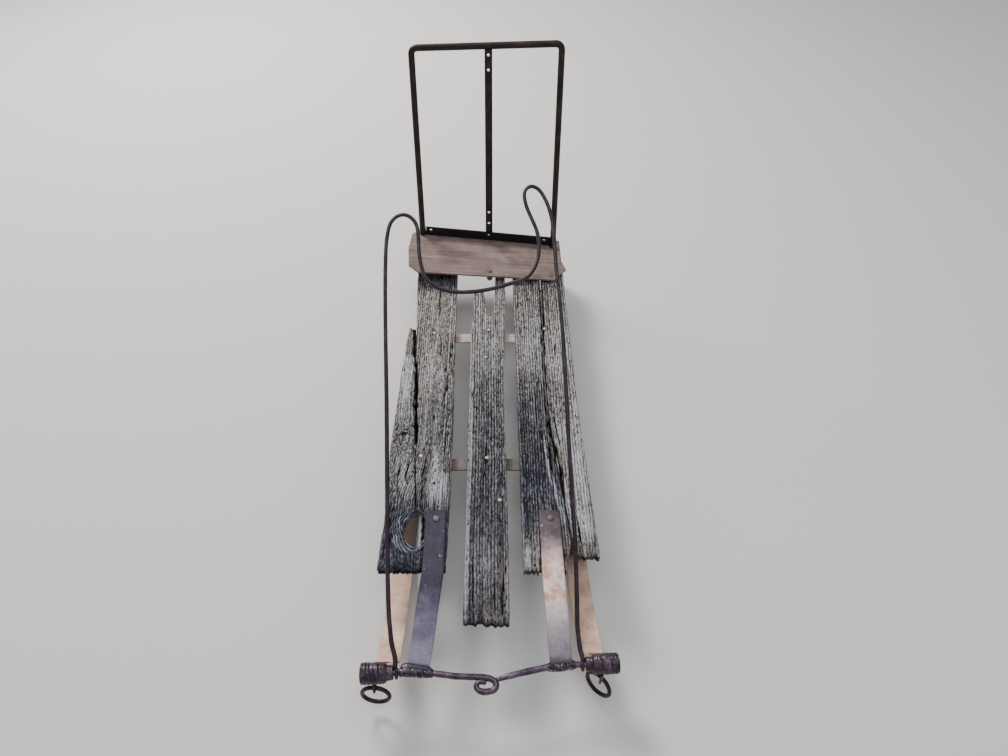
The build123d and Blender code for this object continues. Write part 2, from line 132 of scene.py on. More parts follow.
def tube_mesh(points, radius, seg=16, rough=0.0, rough_scale=80.0, seed=1, caps=True, flat=None):
    """A round bar along points. radius is a number or a function of 0 to 1. flat is not used."""
    n = len(points)
    tang = []
    for i in range(n):
        a = points[max(i - 1, 0)]
        b = points[min(i + 1, n - 1)]
        tang.append((b - a).normalized())
    up = Vector((0, 0, 1))
    if abs(tang[0].dot(up)) > 0.9:
        up = Vector((1, 0, 0))
    side = tang[0].cross(up).normalized()
    verts, faces = [], []
    length = sum((points[i + 1] - points[i]).length for i in range(n - 1))
    run = 0.0
    for i in range(n):
        if i:
            run += (points[i] - points[i - 1]).length
            side = (side - tang[i] * side.dot(tang[i])).normalized()
        other = tang[i].cross(side)
        r = radius(run / length) if callable(radius) else radius
        for k in range(seg):
            a = 2 * math.pi * k / seg
            direction = side * math.cos(a) + other * math.sin(a)
            q = points[i] + direction * r
            if rough:
                q = points[i] + direction * (r * (1 + 0.0) + rough * vn3(q, rough_scale, seed))
            verts.append(q)
    for i in range(n - 1):
        for k in range(seg):
            k2 = (k + 1) % seg
            faces.append((i * seg + k, i * seg + k2, (i + 1) * seg + k2, (i + 1) * seg + k))
    if caps:
        for end, i, sgn in ((0, 0, -1), (1, n - 1, 1)):
            r = radius(float(end)) if callable(radius) else radius
            c = len(verts)
            base = [i * seg + k for k in range(seg)]
            ring = []
            for k in range(seg):
                v = verts[base[k]]
                ring.append(len(verts))
                verts.append(points[i] + (v - points[i]) * 0.72 + tang[i] * sgn * r * 0.22)
            tip = len(verts)
            verts.append(points[i] + tang[i] * sgn * r * 0.3)
            for k in range(seg):
                k2 = (k + 1) % seg
                faces.append((base[k], base[k2], ring[k2], ring[k]))
                faces.append((ring[k], ring[k2], tip))
    return verts, faces


def join_meshes(name, parts, closed=True):
    verts, faces = [], []
    for v, f in parts:
        o = len(verts)
        verts += list(v)
        faces += [tuple(i + o for i in q) for q in f]
    return new_object(name, verts, faces, closed=closed)


def bevel(ob, width, segments=2, angle=35):
    m = ob.modifiers.new("edge", "BEVEL")
    m.width = width
    m.segments = segments
    m.limit_method = "ANGLE"
    m.angle_limit = math.radians(angle)
    m.harden_normals = False
    return m


# ------------------------------------------------------------------ materials
def nodes_of(name, metallic=0.0, roughness=0.8, specular=0.4):
    mat = bpy.data.materials.new(name)
    mat.use_nodes = True
    nt = mat.node_tree
    bsdf = nt.nodes["Principled BSDF"]
    bsdf.inputs["Metallic"].default_value = metallic
    bsdf.inputs["Roughness"].default_value = roughness
    bsdf.inputs["Specular IOR Level"].default_value = specular
    return mat, nt, bsdf


def coords(nt, scale=(1, 1, 1), rotation=(0, 0, 0), shift=(0, 0, 0)):
    tc = nt.nodes.new("ShaderNodeTexCoord")
    mp = nt.nodes.new("ShaderNodeMapping")
    mp.inputs["Location"].default_value = shift
    mp.inputs["Scale"].default_value = scale
    mp.inputs["Rotation"].default_value = rotation
    nt.links.new(tc.outputs["Object"], mp.inputs["Vector"])
    return mp.outputs["Vector"]


def noise(nt, vec, scale, detail=6.0, rough=0.6, distortion=0.0):
    n = nt.nodes.new("ShaderNodeTexNoise")
    n.inputs["Scale"].default_value = scale
    n.inputs["Detail"].default_value = detail
    n.inputs["Roughness"].default_value = rough
    n.inputs["Distortion"].default_value = distortion
    nt.links.new(vec, n.inputs["Vector"])
    return n.outputs["Fac"]


def ramp(nt, fac, stops):
    r = nt.nodes.new("ShaderNodeValToRGB")
    r.color_ramp.elements[0].position = stops[0][0]
    r.color_ramp.elements[0].color = (*stops[0][1], 1)
    r.color_ramp.elements[1].position = stops[-1][0]
    r.color_ramp.elements[1].color = (*stops[-1][1], 1)
    for pos, col in stops[1:-1]:
        e = r.color_ramp.elements.new(pos)
        e.color = (*col, 1)
    nt.links.new(fac, r.inputs["Fac"])
    return r.outputs["Color"]


def grey(nt, fac, lo, hi, a=0.0, b=1.0):
    """fac from lo..hi to a..b, clamped."""
    m = nt.nodes.new("ShaderNodeMapRange")
    m.inputs["From Min"].default_value = lo
    m.inputs["From Max"].default_value = hi
    m.inputs["To Min"].default_value = a
    m.inputs["To Max"].default_value = b
    nt.links.new(fac, m.inputs["Value"])
    return m.outputs["Result"]


def mix(nt, fac, a, b, kind="MIX"):
    m = nt.nodes.new("ShaderNodeMix")
    m.data_type = "RGBA"
    m.blend_type = kind
    for sock, val in ((m.inputs[0], fac), (m.inputs[6], a), (m.inputs[7], b)):
        if isinstance(val, (int, float)):
            sock.default_value = val
        elif isinstance(val, tuple):
            sock.default_value = (*val, 1) if len(val) == 3 else val
        else:
            nt.links.new(val, sock)
    return m.outputs[2]


def math_node(nt, op, a, b=None):
    m = nt.nodes.new("ShaderNodeMath")
    m.operation = op
    for sock, val in ((m.inputs[0], a), (m.inputs[1], b)):
        if val is None:
            continue
        if isinstance(val, (int, float)):
            sock.default_value = val
        else:
            nt.links.new(val, sock)
    return m.outputs[0]


def bump(nt, bsdf, height, strength=0.5, distance=0.001):
    b = nt.nodes.new("ShaderNodeBump")
    b.inputs["Strength"].default_value = strength
    b.inputs["Distance"].default_value = distance
    nt.links.new(height, b.inputs["Height"])
    nt.links.new(b.outputs["Normal"], bsdf.inputs["Normal"])


def iron(name, stops, blotch=22.0, fine=260.0, rough=(0.5, 0.8), metallic=0.25, bump_mm=0.35,
         spots=None, streak=None, specular=0.35, pits=0.45, painted_highlight_with_rust=None, painted_underside_shade=None, under_deck_shade=None, along=None, front=None):
    """Rusted iron: stops are dark to light colours over broad blotches, with fine pits.
    painted_highlight_with_rust: place along the depth, half length, the painted highlight's colour there and the colour
    of the rust blotches in it."""
    mat, nt, bsdf = nodes_of(name, metallic, 0.6, specular)
    vec = coords(nt)
    broad = noise(nt, vec, blotch, 5.0, 0.62)
    mid = noise(nt, vec, blotch * 4.3, 6.0, 0.65)
    small = noise(nt, vec, fine, 4.0, 0.6)
    total = math_node(nt, "ADD", math_node(nt, "MULTIPLY", broad, 0.62), math_node(nt, "MULTIPLY", mid, 0.38))
    if streak:
        lines = noise(nt, coords(nt, streak), 1.0, 5.0, 0.6)
        total = math_node(nt, "ADD", math_node(nt, "MULTIPLY", total, 0.62), math_node(nt, "MULTIPLY", lines, 0.38))
    col = ramp(nt, total, stops)
    # along: colours by depth in place of the stops, used on the straps for painted light and shade
    if along:
        xyz = nt.nodes.new("ShaderNodeSeparateXYZ")
        nt.links.new(vec, xyz.inputs[0])
        drift = math_node(nt, "MULTIPLY", math_node(nt, "SUBTRACT", broad, 0.5), 0.09)
        place = grey(nt, math_node(nt, "ADD", xyz.outputs[1], drift), along[0][0], along[-1][0])
        span = along[-1][0] - along[0][0]
        col = ramp(nt, place, [((y - along[0][0]) / span, c) for y, c in along])
        col = mix(nt, grey(nt, total, 0.38, 0.64), col, mix(nt, 1.0, col, (0.62, 0.58, 0.62), "MULTIPLY"))
    # painted highlight: a pool of pale colour along the depth where light falls, with rust blotches in it
    if painted_highlight_with_rust:
        y0, half, colour, blot = painted_highlight_with_rust
        xyz = nt.nodes.new("ShaderNodeSeparateXYZ")
        nt.links.new(vec, xyz.inputs[0])
        away = math_node(nt, "ABSOLUTE", math_node(nt, "SUBTRACT", xyz.outputs[1], y0))
        away = math_node(nt, "ADD", away, math_node(nt, "MULTIPLY", math_node(nt, "SUBTRACT", broad, 0.5), 0.10))
        near = grey(nt, away, half * 0.45, half * 1.25, 1.0, 0.0)
        spot = mix(nt, grey(nt, noise(nt, vec, 42.0, 5.0, 0.65), 0.46, 0.60, 0.0, 0.85), colour, blot)
        col = mix(nt, math_node(nt, "MULTIPLY", near, 0.95), col, spot)
    col = mix(nt, grey(nt, small, 0.58, 0.72, 0.0, pits), col, tuple(c * 0.45 for c in stops[0][1]))
    if spots:
        colour, size, amount = spots
        sp = noise(nt, vec, size, 2.0, 0.5)
        col = mix(nt, grey(nt, sp, 0.66 - amount, 0.72 - amount, 0.0, 0.6), col, colour)
    # painted shade: darker where the runner passes under the boards; the iron's own colour there is unknown
    if under_deck_shade:
        y0, y1, colour, amount = under_deck_shade
        xyz = nt.nodes.new("ShaderNodeSeparateXYZ")
        nt.links.new(vec, xyz.inputs[0])
        place = math_node(nt, "ADD", xyz.outputs[1], math_node(nt, "MULTIPLY", math_node(nt, "SUBTRACT", mid, 0.5), 0.07))
        col = mix(nt, grey(nt, place, y0, y1, 0.0, amount), col, colour)
    if front:
        y0, y1, colour = front
        xyz = nt.nodes.new("ShaderNodeSeparateXYZ")
        nt.links.new(vec, xyz.inputs[0])
        place = math_node(nt, "ADD", xyz.outputs[1], math_node(nt, "MULTIPLY", math_node(nt, "SUBTRACT", mid, 0.5), 0.008))
        col = mix(nt, grey(nt, place, y0, y1, 0.0, 0.92), col, colour)
    # painted shade: faces that look down are painted darker
    if painted_underside_shade:
        geo = nt.nodes.new("ShaderNodeNewGeometry")
        xyz = nt.nodes.new("ShaderNodeSeparateXYZ")
        nt.links.new(geo.outputs["Normal"], xyz.inputs[0])
        col = mix(nt, grey(nt, xyz.outputs[2], 0.25, -0.35, 0.0, 0.65), col, painted_underside_shade)
    nt.links.new(col, bsdf.inputs["Base Color"])
    nt.links.new(grey(nt, mid, 0.36, 0.64, rough[0], rough[1]), bsdf.inputs["Roughness"])
    height = math_node(nt, "ADD", math_node(nt, "MULTIPLY", small, 0.5), math_node(nt, "MULTIPLY", mid, 0.9))
    bump(nt, bsdf, height, 0.6, bump_mm / 1000.0)
    return mat


def wood(name, dark, mid, light, pale, warm=0.0):
    """Grey weathered wood. Point colour 'grain' holds ridge, the darkness of cracks, pits and grooves with painted
    shade in the hollows, bleach and stain; 'tone' holds the painted shade (darker and bluer), how tan, and how much the
    pits show."""
    mat, nt, bsdf = nodes_of(name, 0.0, 0.88, 0.16)
    at = nt.nodes.new("ShaderNodeAttribute")
    at.attribute_name = "grain"
    sep = nt.nodes.new("ShaderNodeSeparateColor")
    nt.links.new(at.outputs["Color"], sep.inputs["Color"])
    ridge, crack_and_shade, bleach = sep.outputs[0], sep.outputs[1], sep.outputs[2]
    stain = at.outputs["Alpha"]
    at2 = nt.nodes.new("ShaderNodeAttribute")
    at2.attribute_name = "tone"
    sep2 = nt.nodes.new("ShaderNodeSeparateColor")
    nt.links.new(at2.outputs["Color"], sep2.inputs["Color"])
    deep, tan, pitted = sep2.outputs[0], sep2.outputs[1], sep2.outputs[2]
    fine = grey(nt, noise(nt, coords(nt, (1.0, 0.20, 0.6)), 560.0, 4.0, 0.6), 0.38, 0.62)
    fibres = grey(nt, noise(nt, coords(nt, (1.0, 0.36, 0.5), shift=(0.3, 0.1, 0.0)), 330.0, 3.0, 0.60, 0.3), 0.40, 0.60)
    bands = grey(nt, noise(nt, coords(nt, (1.0, 0.10, 0.5), shift=(0.7, 0.4, 0.0)), 90.0, 4.0, 0.6, 0.5), 0.38, 0.62)
    patch = noise(nt, coords(nt, (1.0, 0.4, 1.0)), 12.0, 4.0, 0.55)
    specks = noise(nt, coords(nt, (1.0, 0.45, 1.0)), 400.0, 2.0, 0.5)
    flecks = noise(nt, coords(nt, (1.0, 0.16, 1.0), shift=(1.7, 2.4, 0.0)), 300.0, 3.0, 0.62)
    tone = math_node(nt, "ADD", math_node(nt, "MULTIPLY", ridge, 0.50), math_node(nt, "MULTIPLY", fine, 0.14))
    tone = math_node(nt, "ADD", tone, math_node(nt, "ADD", math_node(nt, "MULTIPLY", fibres, 0.30), math_node(nt, "MULTIPLY", bands, 0.06)))
    tone = math_node(nt, "ADD", tone, math_node(nt, "MULTIPLY", math_node(nt, "SUBTRACT", patch, 0.5), 0.22))
    tone = math_node(nt, "ADD", tone, math_node(nt, "MULTIPLY", bleach, 0.24))
    # painted shade lowers the tone
    tone = math_node(nt, "SUBTRACT", tone, math_node(nt, "MULTIPLY", deep, 0.14))
    col = ramp(nt, tone, [(0.20, dark), (0.42, mid), (0.64, light), (0.92, pale)])
    col = mix(nt, grey(nt, patch, 0.45, 0.75, 0.0, 0.25 + warm), col, (0.17, 0.125, 0.095), "MIX")
    col = mix(nt, grey(nt, flecks, 0.56, 0.66, 0.0, 0.35), col, pale)
    col = mix(nt, math_node(nt, "MULTIPLY", tan, 0.6), col, (0.34, 0.25, 0.16))
    # bleached wood is paler, with a blue cast that is painted shade
    bleach_shade_blue = mix(nt, 0.5, col, (0.62, 0.68, 0.80))
    col = mix(nt, grey(nt, bleach, 0.0, 1.0, 0.0, 0.62), col, bleach_shade_blue)
    # painted shade: darker and bluer, as wood in shade
    col = mix(nt, deep, col, (0.40, 0.455, 0.64), "MULTIPLY")
    pits = math_node(nt, "MULTIPLY", grey(nt, specks, 0.60, 0.67, 0.0, 0.85), math_node(nt, "ADD", math_node(nt, "MULTIPLY", pitted, 0.55), 0.45))
    col = mix(nt, pits, col, (0.010, 0.009, 0.011))
    col = mix(nt, grey(nt, stain, 0.0, 1.0, 0.0, 0.85), col, (0.05, 0.032, 0.024))
    # near-black in cracks, pits and grooves, and painted shade in the hollows
    col = mix(nt, grey(nt, crack_and_shade, 0.10, 0.75, 0.0, 1.0), col, (0.005, 0.0045, 0.005))
    nt.links.new(col, bsdf.inputs["Base Color"])
    height = math_node(nt, "ADD", math_node(nt, "MULTIPLY", fibres, 0.45), math_node(nt, "MULTIPLY", pits, -0.8))
    height = math_node(nt, "ADD", height, math_node(nt, "MULTIPLY", fine, 0.25))
    bump(nt, bsdf, height, 0.85, 0.0012)
    return mat


M = {}
M["wood_left"] = wood("wood_left", (0.020, 0.017, 0.018), (0.098, 0.089, 0.086), (0.315, 0.294, 0.280), (0.680, 0.655, 0.625))
M["wood_centre"] = wood("wood_centre", (0.020, 0.017, 0.018), (0.094, 0.086, 0.084), (0.300, 0.281, 0.268), (0.640, 0.615, 0.590))
M["wood_right"] = wood("wood_right", (0.020, 0.017, 0.017), (0.098, 0.088, 0.084), (0.315, 0.292, 0.276), (0.680, 0.652, 0.620), warm=0.05)
# runners: tan rust, painted dark as shade where they run under the boards, the rolled end at the bar darker
for side, d_bar in (("left", 402.0), ("right", 416.0)):
    M["runner_" + side] = iron("runner_rust_under_shade_" + side, [(0.34, (0.50, 0.300, 0.205)), (0.46, (0.74, 0.500, 0.370)), (0.57, (0.84, 0.595, 0.460)), (0.70, (0.90, 0.70, 0.58))],
                               blotch=30.0, rough=(0.65, 0.9), metallic=0.0, bump_mm=0.4, pits=0.7, spots=((0.28, 0.17, 0.12), 70.0, -0.02),
                               under_deck_shade=(P(0, 636, 0).y, P(0, 688, 0).y, (0.034, 0.026, 0.022), 0.93), front=(P(0, d_bar + 18, 0).y, P(0, d_bar + 12, 0).y, (0.050, 0.030, 0.036)))
# one rust for the three crossbars, scaled darker on the front one as painted shade and brighter on the middle one as
# painted light
for bar_name, k in (("front", 0.42), ("middle", 1.28), ("rear", 0.8)):
    M["crossbar_" + bar_name] = iron("crossbar_rust_lit_shaded_" + bar_name, [(p, tuple(k * v for v in c)) for p, c in ((0.34, (0.27, 0.20, 0.175)), (0.5, (0.42, 0.335, 0.300)), (0.68, (0.56, 0.46, 0.42)))],
                     blotch=26.0, rough=(0.65, 0.9), metallic=0.0, bump_mm=0.3)
# left strap: colours along its depth are painted shade, dark under the board and pale blue-grey towards the bar
M["strap_left"] = iron("strap_rust_painted_shade_left", [(0.36, (0.03, 0.026, 0.04)), (0.66, (0.08, 0.07, 0.10))], blotch=24.0, rough=(0.42, 0.62), metallic=0.3, bump_mm=0.25,
                       spots=((0.34, 0.32, 0.38), 90.0, -0.03),
                       along=[(P(0, 430, 0).y, (0.255, 0.232, 0.325)), (P(0, 465, 0).y, (0.230, 0.208, 0.300)), (P(0, 500, 0).y, (0.145, 0.132, 0.200)), (P(0, 545, 0).y, (0.046, 0.042, 0.072)), (P(0, 720, 0).y, (0.036, 0.032, 0.056))])
# right strap: colours along its depth are painted light and shade, a painted highlight near d 550 and dark under the
# board
M["strap_right"] = iron("strap_rust_painted_light_shade_right", [(0.36, (0.10, 0.075, 0.08)), (0.66, (0.30, 0.24, 0.25))], blotch=22.0, rough=(0.42, 0.66), metallic=0.2, bump_mm=0.25,
                        spots=((0.60, 0.56, 0.58), 120.0, -0.02),
                        along=[(P(0, 425, 0).y, (0.30, 0.245, 0.290)), (P(0, 465, 0).y, (0.42, 0.350, 0.395)), (P(0, 505, 0).y, (0.66, 0.570, 0.600)), (P(0, 555, 0).y, (0.82, 0.680, 0.660)), (P(0, 610, 0).y, (0.56, 0.440, 0.440)), (P(0, 655, 0).y, (0.16, 0.122, 0.140)), (P(0, 720, 0).y, (0.072, 0.056, 0.072))],
                        painted_highlight_with_rust=(P(130, 552, 0).y, 0.058, (0.86, 0.71, 0.68), (0.58, 0.28, 0.16)))
M["plate"] = iron("plate_rust", [(0.32, (0.085, 0.049, 0.042)), (0.45, (0.165, 0.112, 0.100)), (0.56, (0.245, 0.182, 0.168)), (0.70, (0.38, 0.312, 0.298))],
                  blotch=9.0, rough=(0.5, 0.75), metallic=0.15, bump_mm=0.25, streak=(6.0, 90.0, 60.0))
# bar, sleeves and coils: painted shade on the faces that look down
M["bar"] = iron("bar_rust_shaded_under", [(0.34, (0.034, 0.024, 0.034)), (0.5, (0.094, 0.070, 0.096)), (0.68, (0.225, 0.180, 0.228))],
                blotch=34.0, rough=(0.24, 0.38), metallic=0.75, bump_mm=0.25, specular=0.5, painted_underside_shade=(0.022, 0.014, 0.022))
M["wrap"] = iron("wrap_rust_shaded_under", [(0.36, (0.014, 0.007, 0.013)), (0.52, (0.050, 0.033, 0.052)), (0.68, (0.26, 0.215, 0.285))],
                 blotch=80.0, rough=(0.22, 0.42), metallic=0.7, bump_mm=0.4, specular=0.5, painted_underside_shade=(0.016, 0.009, 0.013))
M["coil"] = iron("coil_rust_shaded_under", [(0.34, (0.020, 0.011, 0.016)), (0.5, (0.058, 0.038, 0.054)), (0.68, (0.17, 0.135, 0.175))],
                 blotch=44.0, rough=(0.24, 0.42), metallic=0.7, bump_mm=0.3, specular=0.5, painted_underside_shade=(0.022, 0.010, 0.010))
M["ring"] = iron("ring_rust", [(0.34, (0.012, 0.007, 0.008)), (0.5, (0.030, 0.018, 0.020)), (0.68, (0.075, 0.050, 0.058))],
                 blotch=60.0, rough=(0.34, 0.52), metallic=0.5, bump_mm=0.25)
M["rod"] = iron("rod_rust", [(0.34, (0.014, 0.008, 0.013)), (0.5, (0.031, 0.020, 0.029)), (0.68, (0.070, 0.050, 0.064))],
                blotch=30.0, rough=(0.34, 0.52), metallic=0.5, bump_mm=0.25, specular=0.5)
M["frame"] = iron("frame_rust", [(0.34, (0.009, 0.006, 0.005)), (0.5, (0.021, 0.013, 0.012)), (0.68, (0.052, 0.032, 0.028))],
                  blotch=26.0, rough=(0.38, 0.58), metallic=0.45, bump_mm=0.25, specular=0.45)
M["flange"] = iron("flange_rust", [(0.34, (0.005, 0.004, 0.006)), (0.5, (0.011, 0.009, 0.012)), (0.68, (0.028, 0.021, 0.023))],
                   blotch=26.0, rough=(0.5, 0.7), metallic=0.3, bump_mm=0.25)
M["bolt"] = iron("bolt_rust", [(0.34, (0.085, 0.055, 0.055)), (0.5, (0.17, 0.120, 0.115)), (0.68, (0.30, 0.230, 0.215))],
                 blotch=90.0, rough=(0.42, 0.66), metallic=0.3, bump_mm=0.2)
M["wire"] = iron("wire_rust", [(0.34, (0.022, 0.016, 0.024)), (0.5, (0.045, 0.034, 0.046)), (0.68, (0.10, 0.082, 0.095))],
                 blotch=120.0, rough=(0.5, 0.7), metallic=0.2, bump_mm=0.15)
M["nail"] = iron("nail_rust", [(0.34, (0.30, 0.25, 0.22)), (0.5, (0.52, 0.47, 0.43)), (0.68, (0.72, 0.68, 0.64))],
                 blotch=120.0, rough=(0.4, 0.6), metallic=0.3, bump_mm=0.15)


def finish_piece(ob, mat, body, replaces=()):
    ob.data.materials.clear()
    ob.data.materials.append(mat)
    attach(ob, body)
    if replaces:
        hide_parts(*replaces)
    return ob


# ------------------------------------------------------------------ boards
BOARD_T = 24.0


def rows_between(front, rear, fine_front=46.0, fine_rear=0.0, fine=1.6, coarse=4.6):
    d = [front]
    while d[-1] < front + fine_front:
        d.append(d[-1] + fine)
    while d[-1] < rear - fine_rear - coarse:
        d.append(d[-1] + coarse)
    while d[-1] < rear - fine:
        d.append(d[-1] + (fine if fine_rear else coarse))
    d[-1] = rear
    return np.array(d)


def grain_height(x, d, seed, knots=(), bends=(), s=None, pitch=9.0):
    """Ridge height 0 to 1 of the weathered grain along d, bent round knots. bends: rows of (x full,
    x none, d from, d to, shift) that lead the grain sideways. s: distance from the worn front end."""
    g = x.copy()
    for x1, x0, d1, d0, shift in bends:
        g = g + shift * smooth(x0, x1, x) * smooth(d1, d0, d)
    rings = np.zeros_like(x)
    for kx, kd, kr, pull in knots:
        dx, dd = x - kx, (d - kd) * 0.62
        r = np.sqrt(dx * dx + dd * dd)
        g = g + np.sign(dx) * -pull * np.exp(-(r / (kr * 1.5)) ** 2) * np.clip(np.abs(dx) / kr, 0, 1)
        inside = np.exp(-(r / kr) ** 3)
        rings = np.maximum(rings, inside)
        g = g * (1 - inside) + (kx + r * 1.0 + 5.0 * vn2(dx / 7, dd / 7, seed + 9)) * inside
    wob = 3.0 * vn2(g / 34, d / 120, seed + 1) + 0.9 * vn2(g / 9, d / 34, seed + 2)
    q = g + wob
    # year rings stand up as even lines, each with its own height, and break up along the way
    turn = q / 5.9 + 0.60 * vn1(q / 14.0, seed + 8)
    own = _hash(np.floor(turn), seed + 3)
    line = (0.5 + 0.5 * np.cos(2 * math.pi * (turn - np.floor(turn) - 0.5))) * (0.5 + 0.5 * own)
    a = vn2(q / 1.9, d / 19, seed + 4)
    b = vn2(q / 1.9, d / 5.2, seed + 5)
    c = vn2(q / 9.0, d / 70, seed + 6)
    h = 0.46 * line + 0.22 * a + 0.24 * b + 0.08 * c
    h = np.clip((h - 0.20) / 0.48, 0, 1)
    if s is not None:
        big = np.clip((vn1(q / (pitch * 0.5), seed + 7) - 0.16) / 0.66, 0, 1)
        k = 0.70 * np.exp(-(s / 70.0) ** 1.5)
        h = h * (1 - k) + (0.70 * big + 0.30 * b) * k
    return h, rings


def board(name, d_rows, left, right, cols, seed, gap=None, end_left=None, fray=(9.0, 30.0), fray_rear=(0.0, 20.0), knots=(), cracks=(),
          bleach=(), stains=(), depth=1.5, front_depth=5.0, z_top=0.0, thick=BOARD_T, wedge=None, bends=(), pitch=9.0, nose=3.5,
          deep=((0, 0.0),), tans=(), blades=(), collar=None, hollows=(), pitted=0.7, edge_light=0.5):
    """One plank as a closed shell. left and right: rows of (d, x). gap: rows of (d, x left, x right) of a
    split that opens between two columns. end_left: the d where the part left of the gap ends."""
    nj = len(d_rows)
    xl, xr = table(left, d_rows), table(right, d_rows)
    width = float(np.max(xr - xl))
    ni = int(cols)
    u = np.linspace(0, 1, ni)
    if gap:
        g = np.array(gap, float)
        gl = np.interp(d_rows, g[:, 0], g[:, 1])
        gr = np.interp(d_rows, g[:, 0], g[:, 2])
        share = float(np.mean((gl - xl) / (xr - xl)))
        ic = max(2, int(share * ni))
        X = np.zeros((ni, nj))
        for j in range(nj):
            X[:ic + 1, j] = np.linspace(xl[j], gl[j], ic + 1)
            X[ic + 1:, j] = np.linspace(gr[j], xr[j], ni - ic - 1)
    else:
        ic = None
        X = xl[None, :] * (1 - u[:, None]) + xr[None, :] * u[:, None]
    D = np.repeat(d_rows[None, :], ni, 0)
    # edges are not straight: small lengthwise waves and chips that fade inwards
    edge = np.minimum(u, 1 - u)[:, None] * width
    chip = (vn2(D / 34, u[:, None] * 0 + 3.1, seed + 11) - 0.5) * 2.4 + (vn2(D / 7.5, u[:, None] * 0 + 9.7, seed + 12) - 0.5) * 1.8
    inward = np.where(u[:, None] < 0.5, 1.0, -1.0)
    X = X + inward * np.abs(chip) * np.exp(-edge / 6.0)
    s = D - d_rows[0]
    t = d_rows[-1] - D
    h, rings = grain_height(X, D, seed, knots, bends, s if front_depth else None, pitch)
    mask = np.ones((ni - 1, nj - 1), bool)
    if gap:
        open_rows = (gr - gl) > 1.0 + (xr - xl) / ni * 1.2
        for j in range(nj - 1):
            if open_rows[j] and open_rows[j + 1]:
                mask[ic, j] = False
        if end_left is not None:
            jb = int(np.searchsorted(d_rows, end_left))
            mask[:ic + 1, jb:] = False
    # frayed ends: each ridge runs out to its own length
    big = np.clip((vn1(X[:, :1] / (pitch * 0.5) + 0.4, seed + 7) - 0.16) / 0.66, 0, 1)
    finger = vn1(X[:, :1] / 3.1, seed + 21)
    run_out = fray[0] * (0.45 * (1 - big) + 0.38 * (1 - finger) + 0.17 * vn1(X[:, :1] / 17.0, seed + 22))
    D = D + run_out * np.exp(-s / fray[1])
    if fray_rear[0]:
        back = fray_rear[0] * (0.5 * (1 - big) + 0.5 * vn1(X[:, -1:] / 3.4, seed + 23))
        D = D - back * np.exp(-t / fray_rear[1])
    if gap and end_left is not None:
        back = 9.0 * vn1(X[:, :1] / 4.0, seed + 27)
        near = np.exp(-np.abs(d_rows[jb] - d_rows)[None, :] / 12.0) * (np.arange(ni)[:, None] <= ic)
        D = D - back * near
    # heights
    low = depth + front_depth * np.exp(-s / 34.0)
    if fray_rear[0]:
        low = low + 3.0 * np.exp(-t / 20.0)
    swell = (vn2(X / 60, D / 190, seed + 31) - 0.5) * 1.6
    pits = smooth(0.78, 0.90, vn2(X / 2.0, D / 4.6, seed + 32)) * smooth(0.30, 0.55, vn2(X / 36, D / 80, seed + 33))
    Z = z_top - low * (1 - h) ** 1.25 + np.minimum(swell, 0) - 1.8 * pits
    Z = Z - nose * np.exp(-s / 4.0)
    dark = np.clip(pits * 0.8 + smooth(0.66, 1.0, 1 - h) * 0.42, 0, 1)
    T = np.zeros_like(Z)
    B = np.zeros_like(Z)
    for path, half, down in cracks:
        p = np.array(path, float)
        order = np.argsort(p[:, 1])
        p = p[order]
        xc = np.interp(D, p[:, 1], p[:, 0]) + 1.6 * (vn1(D / 17, seed + 41) - 0.5) * 2 + 1.2 * (vn1(D / 5.5, seed + 43) - 0.5)
        inside = (D > p[0, 1]) & (D < p[-1, 1])
        ends = np.clip(np.minimum(D - p[0, 1], p[-1, 1] - D) / 25.0, 0, 1)
        w = half * (0.45 + 1.1 * vn1(D / 15, seed + 42)) * ends + 1e-3
        k = np.exp(-((X - xc) / w) ** 2) * inside * ends
        Z = Z - down * k
        dark = np.maximum(dark, smooth(0.15, 0.75, k))
    for hx, hd, rx, rd, down, shade in hollows:
        k = np.exp(-(((X - hx) / rx) ** 2 + ((D - hd) / rd) ** 2) ** 1.6)
        k = k * (0.55 + 0.9 * vn2(X / 5, D / 9, seed + 45)).clip(0, 1)
        Z = Z - down * k
        dark = np.maximum(dark, shade * smooth(0.25, 0.9, k) * (0.6 + 0.4 * smooth(0.8, 0.2, h)))
    for path, half, amount, up in blades:
        p = np.array(sorted(path, key=lambda q: q[1]), float)
        xc = np.interp(D, p[:, 1], p[:, 0]) + 1.4 * (vn1(D / 21, seed + 46) - 0.5)
        ends = np.clip(np.minimum(D - p[0, 1], p[-1, 1] - D) / 30.0, 0, 1)
        w = half * (0.6 + 0.7 * vn1(D / 26, seed + 47)) * (0.25 + 0.75 * ends) + 1e-3
        k = np.exp(-((X - xc) / w) ** 4) * (ends > 0)
        Z = Z + up * k
        B = np.maximum(B, amount * k)
        dark = dark * (1 - 0.5 * k)
    for bx, bd, rx, rd, amount in bleach:
        k = np.exp(-(((X - bx) / rx) ** 2 + ((D - bd) / rd) ** 2) ** 1.5)
        k = k * (0.7 + 0.6 * vn2(X / 7, D / 16, seed + 48)).clip(0, 1)
        B = np.maximum(B, amount * k)
    B = np.maximum(B, edge_light * np.exp(-edge / 2.2) * (0.4 + 0.8 * vn1(D / 40, seed + 49)))
    for tx, td, rx, rd, amount in tans:
        T = np.maximum(T, amount * np.exp(-((X - tx) / rx) ** 2 - ((D - td) / rd) ** 2))
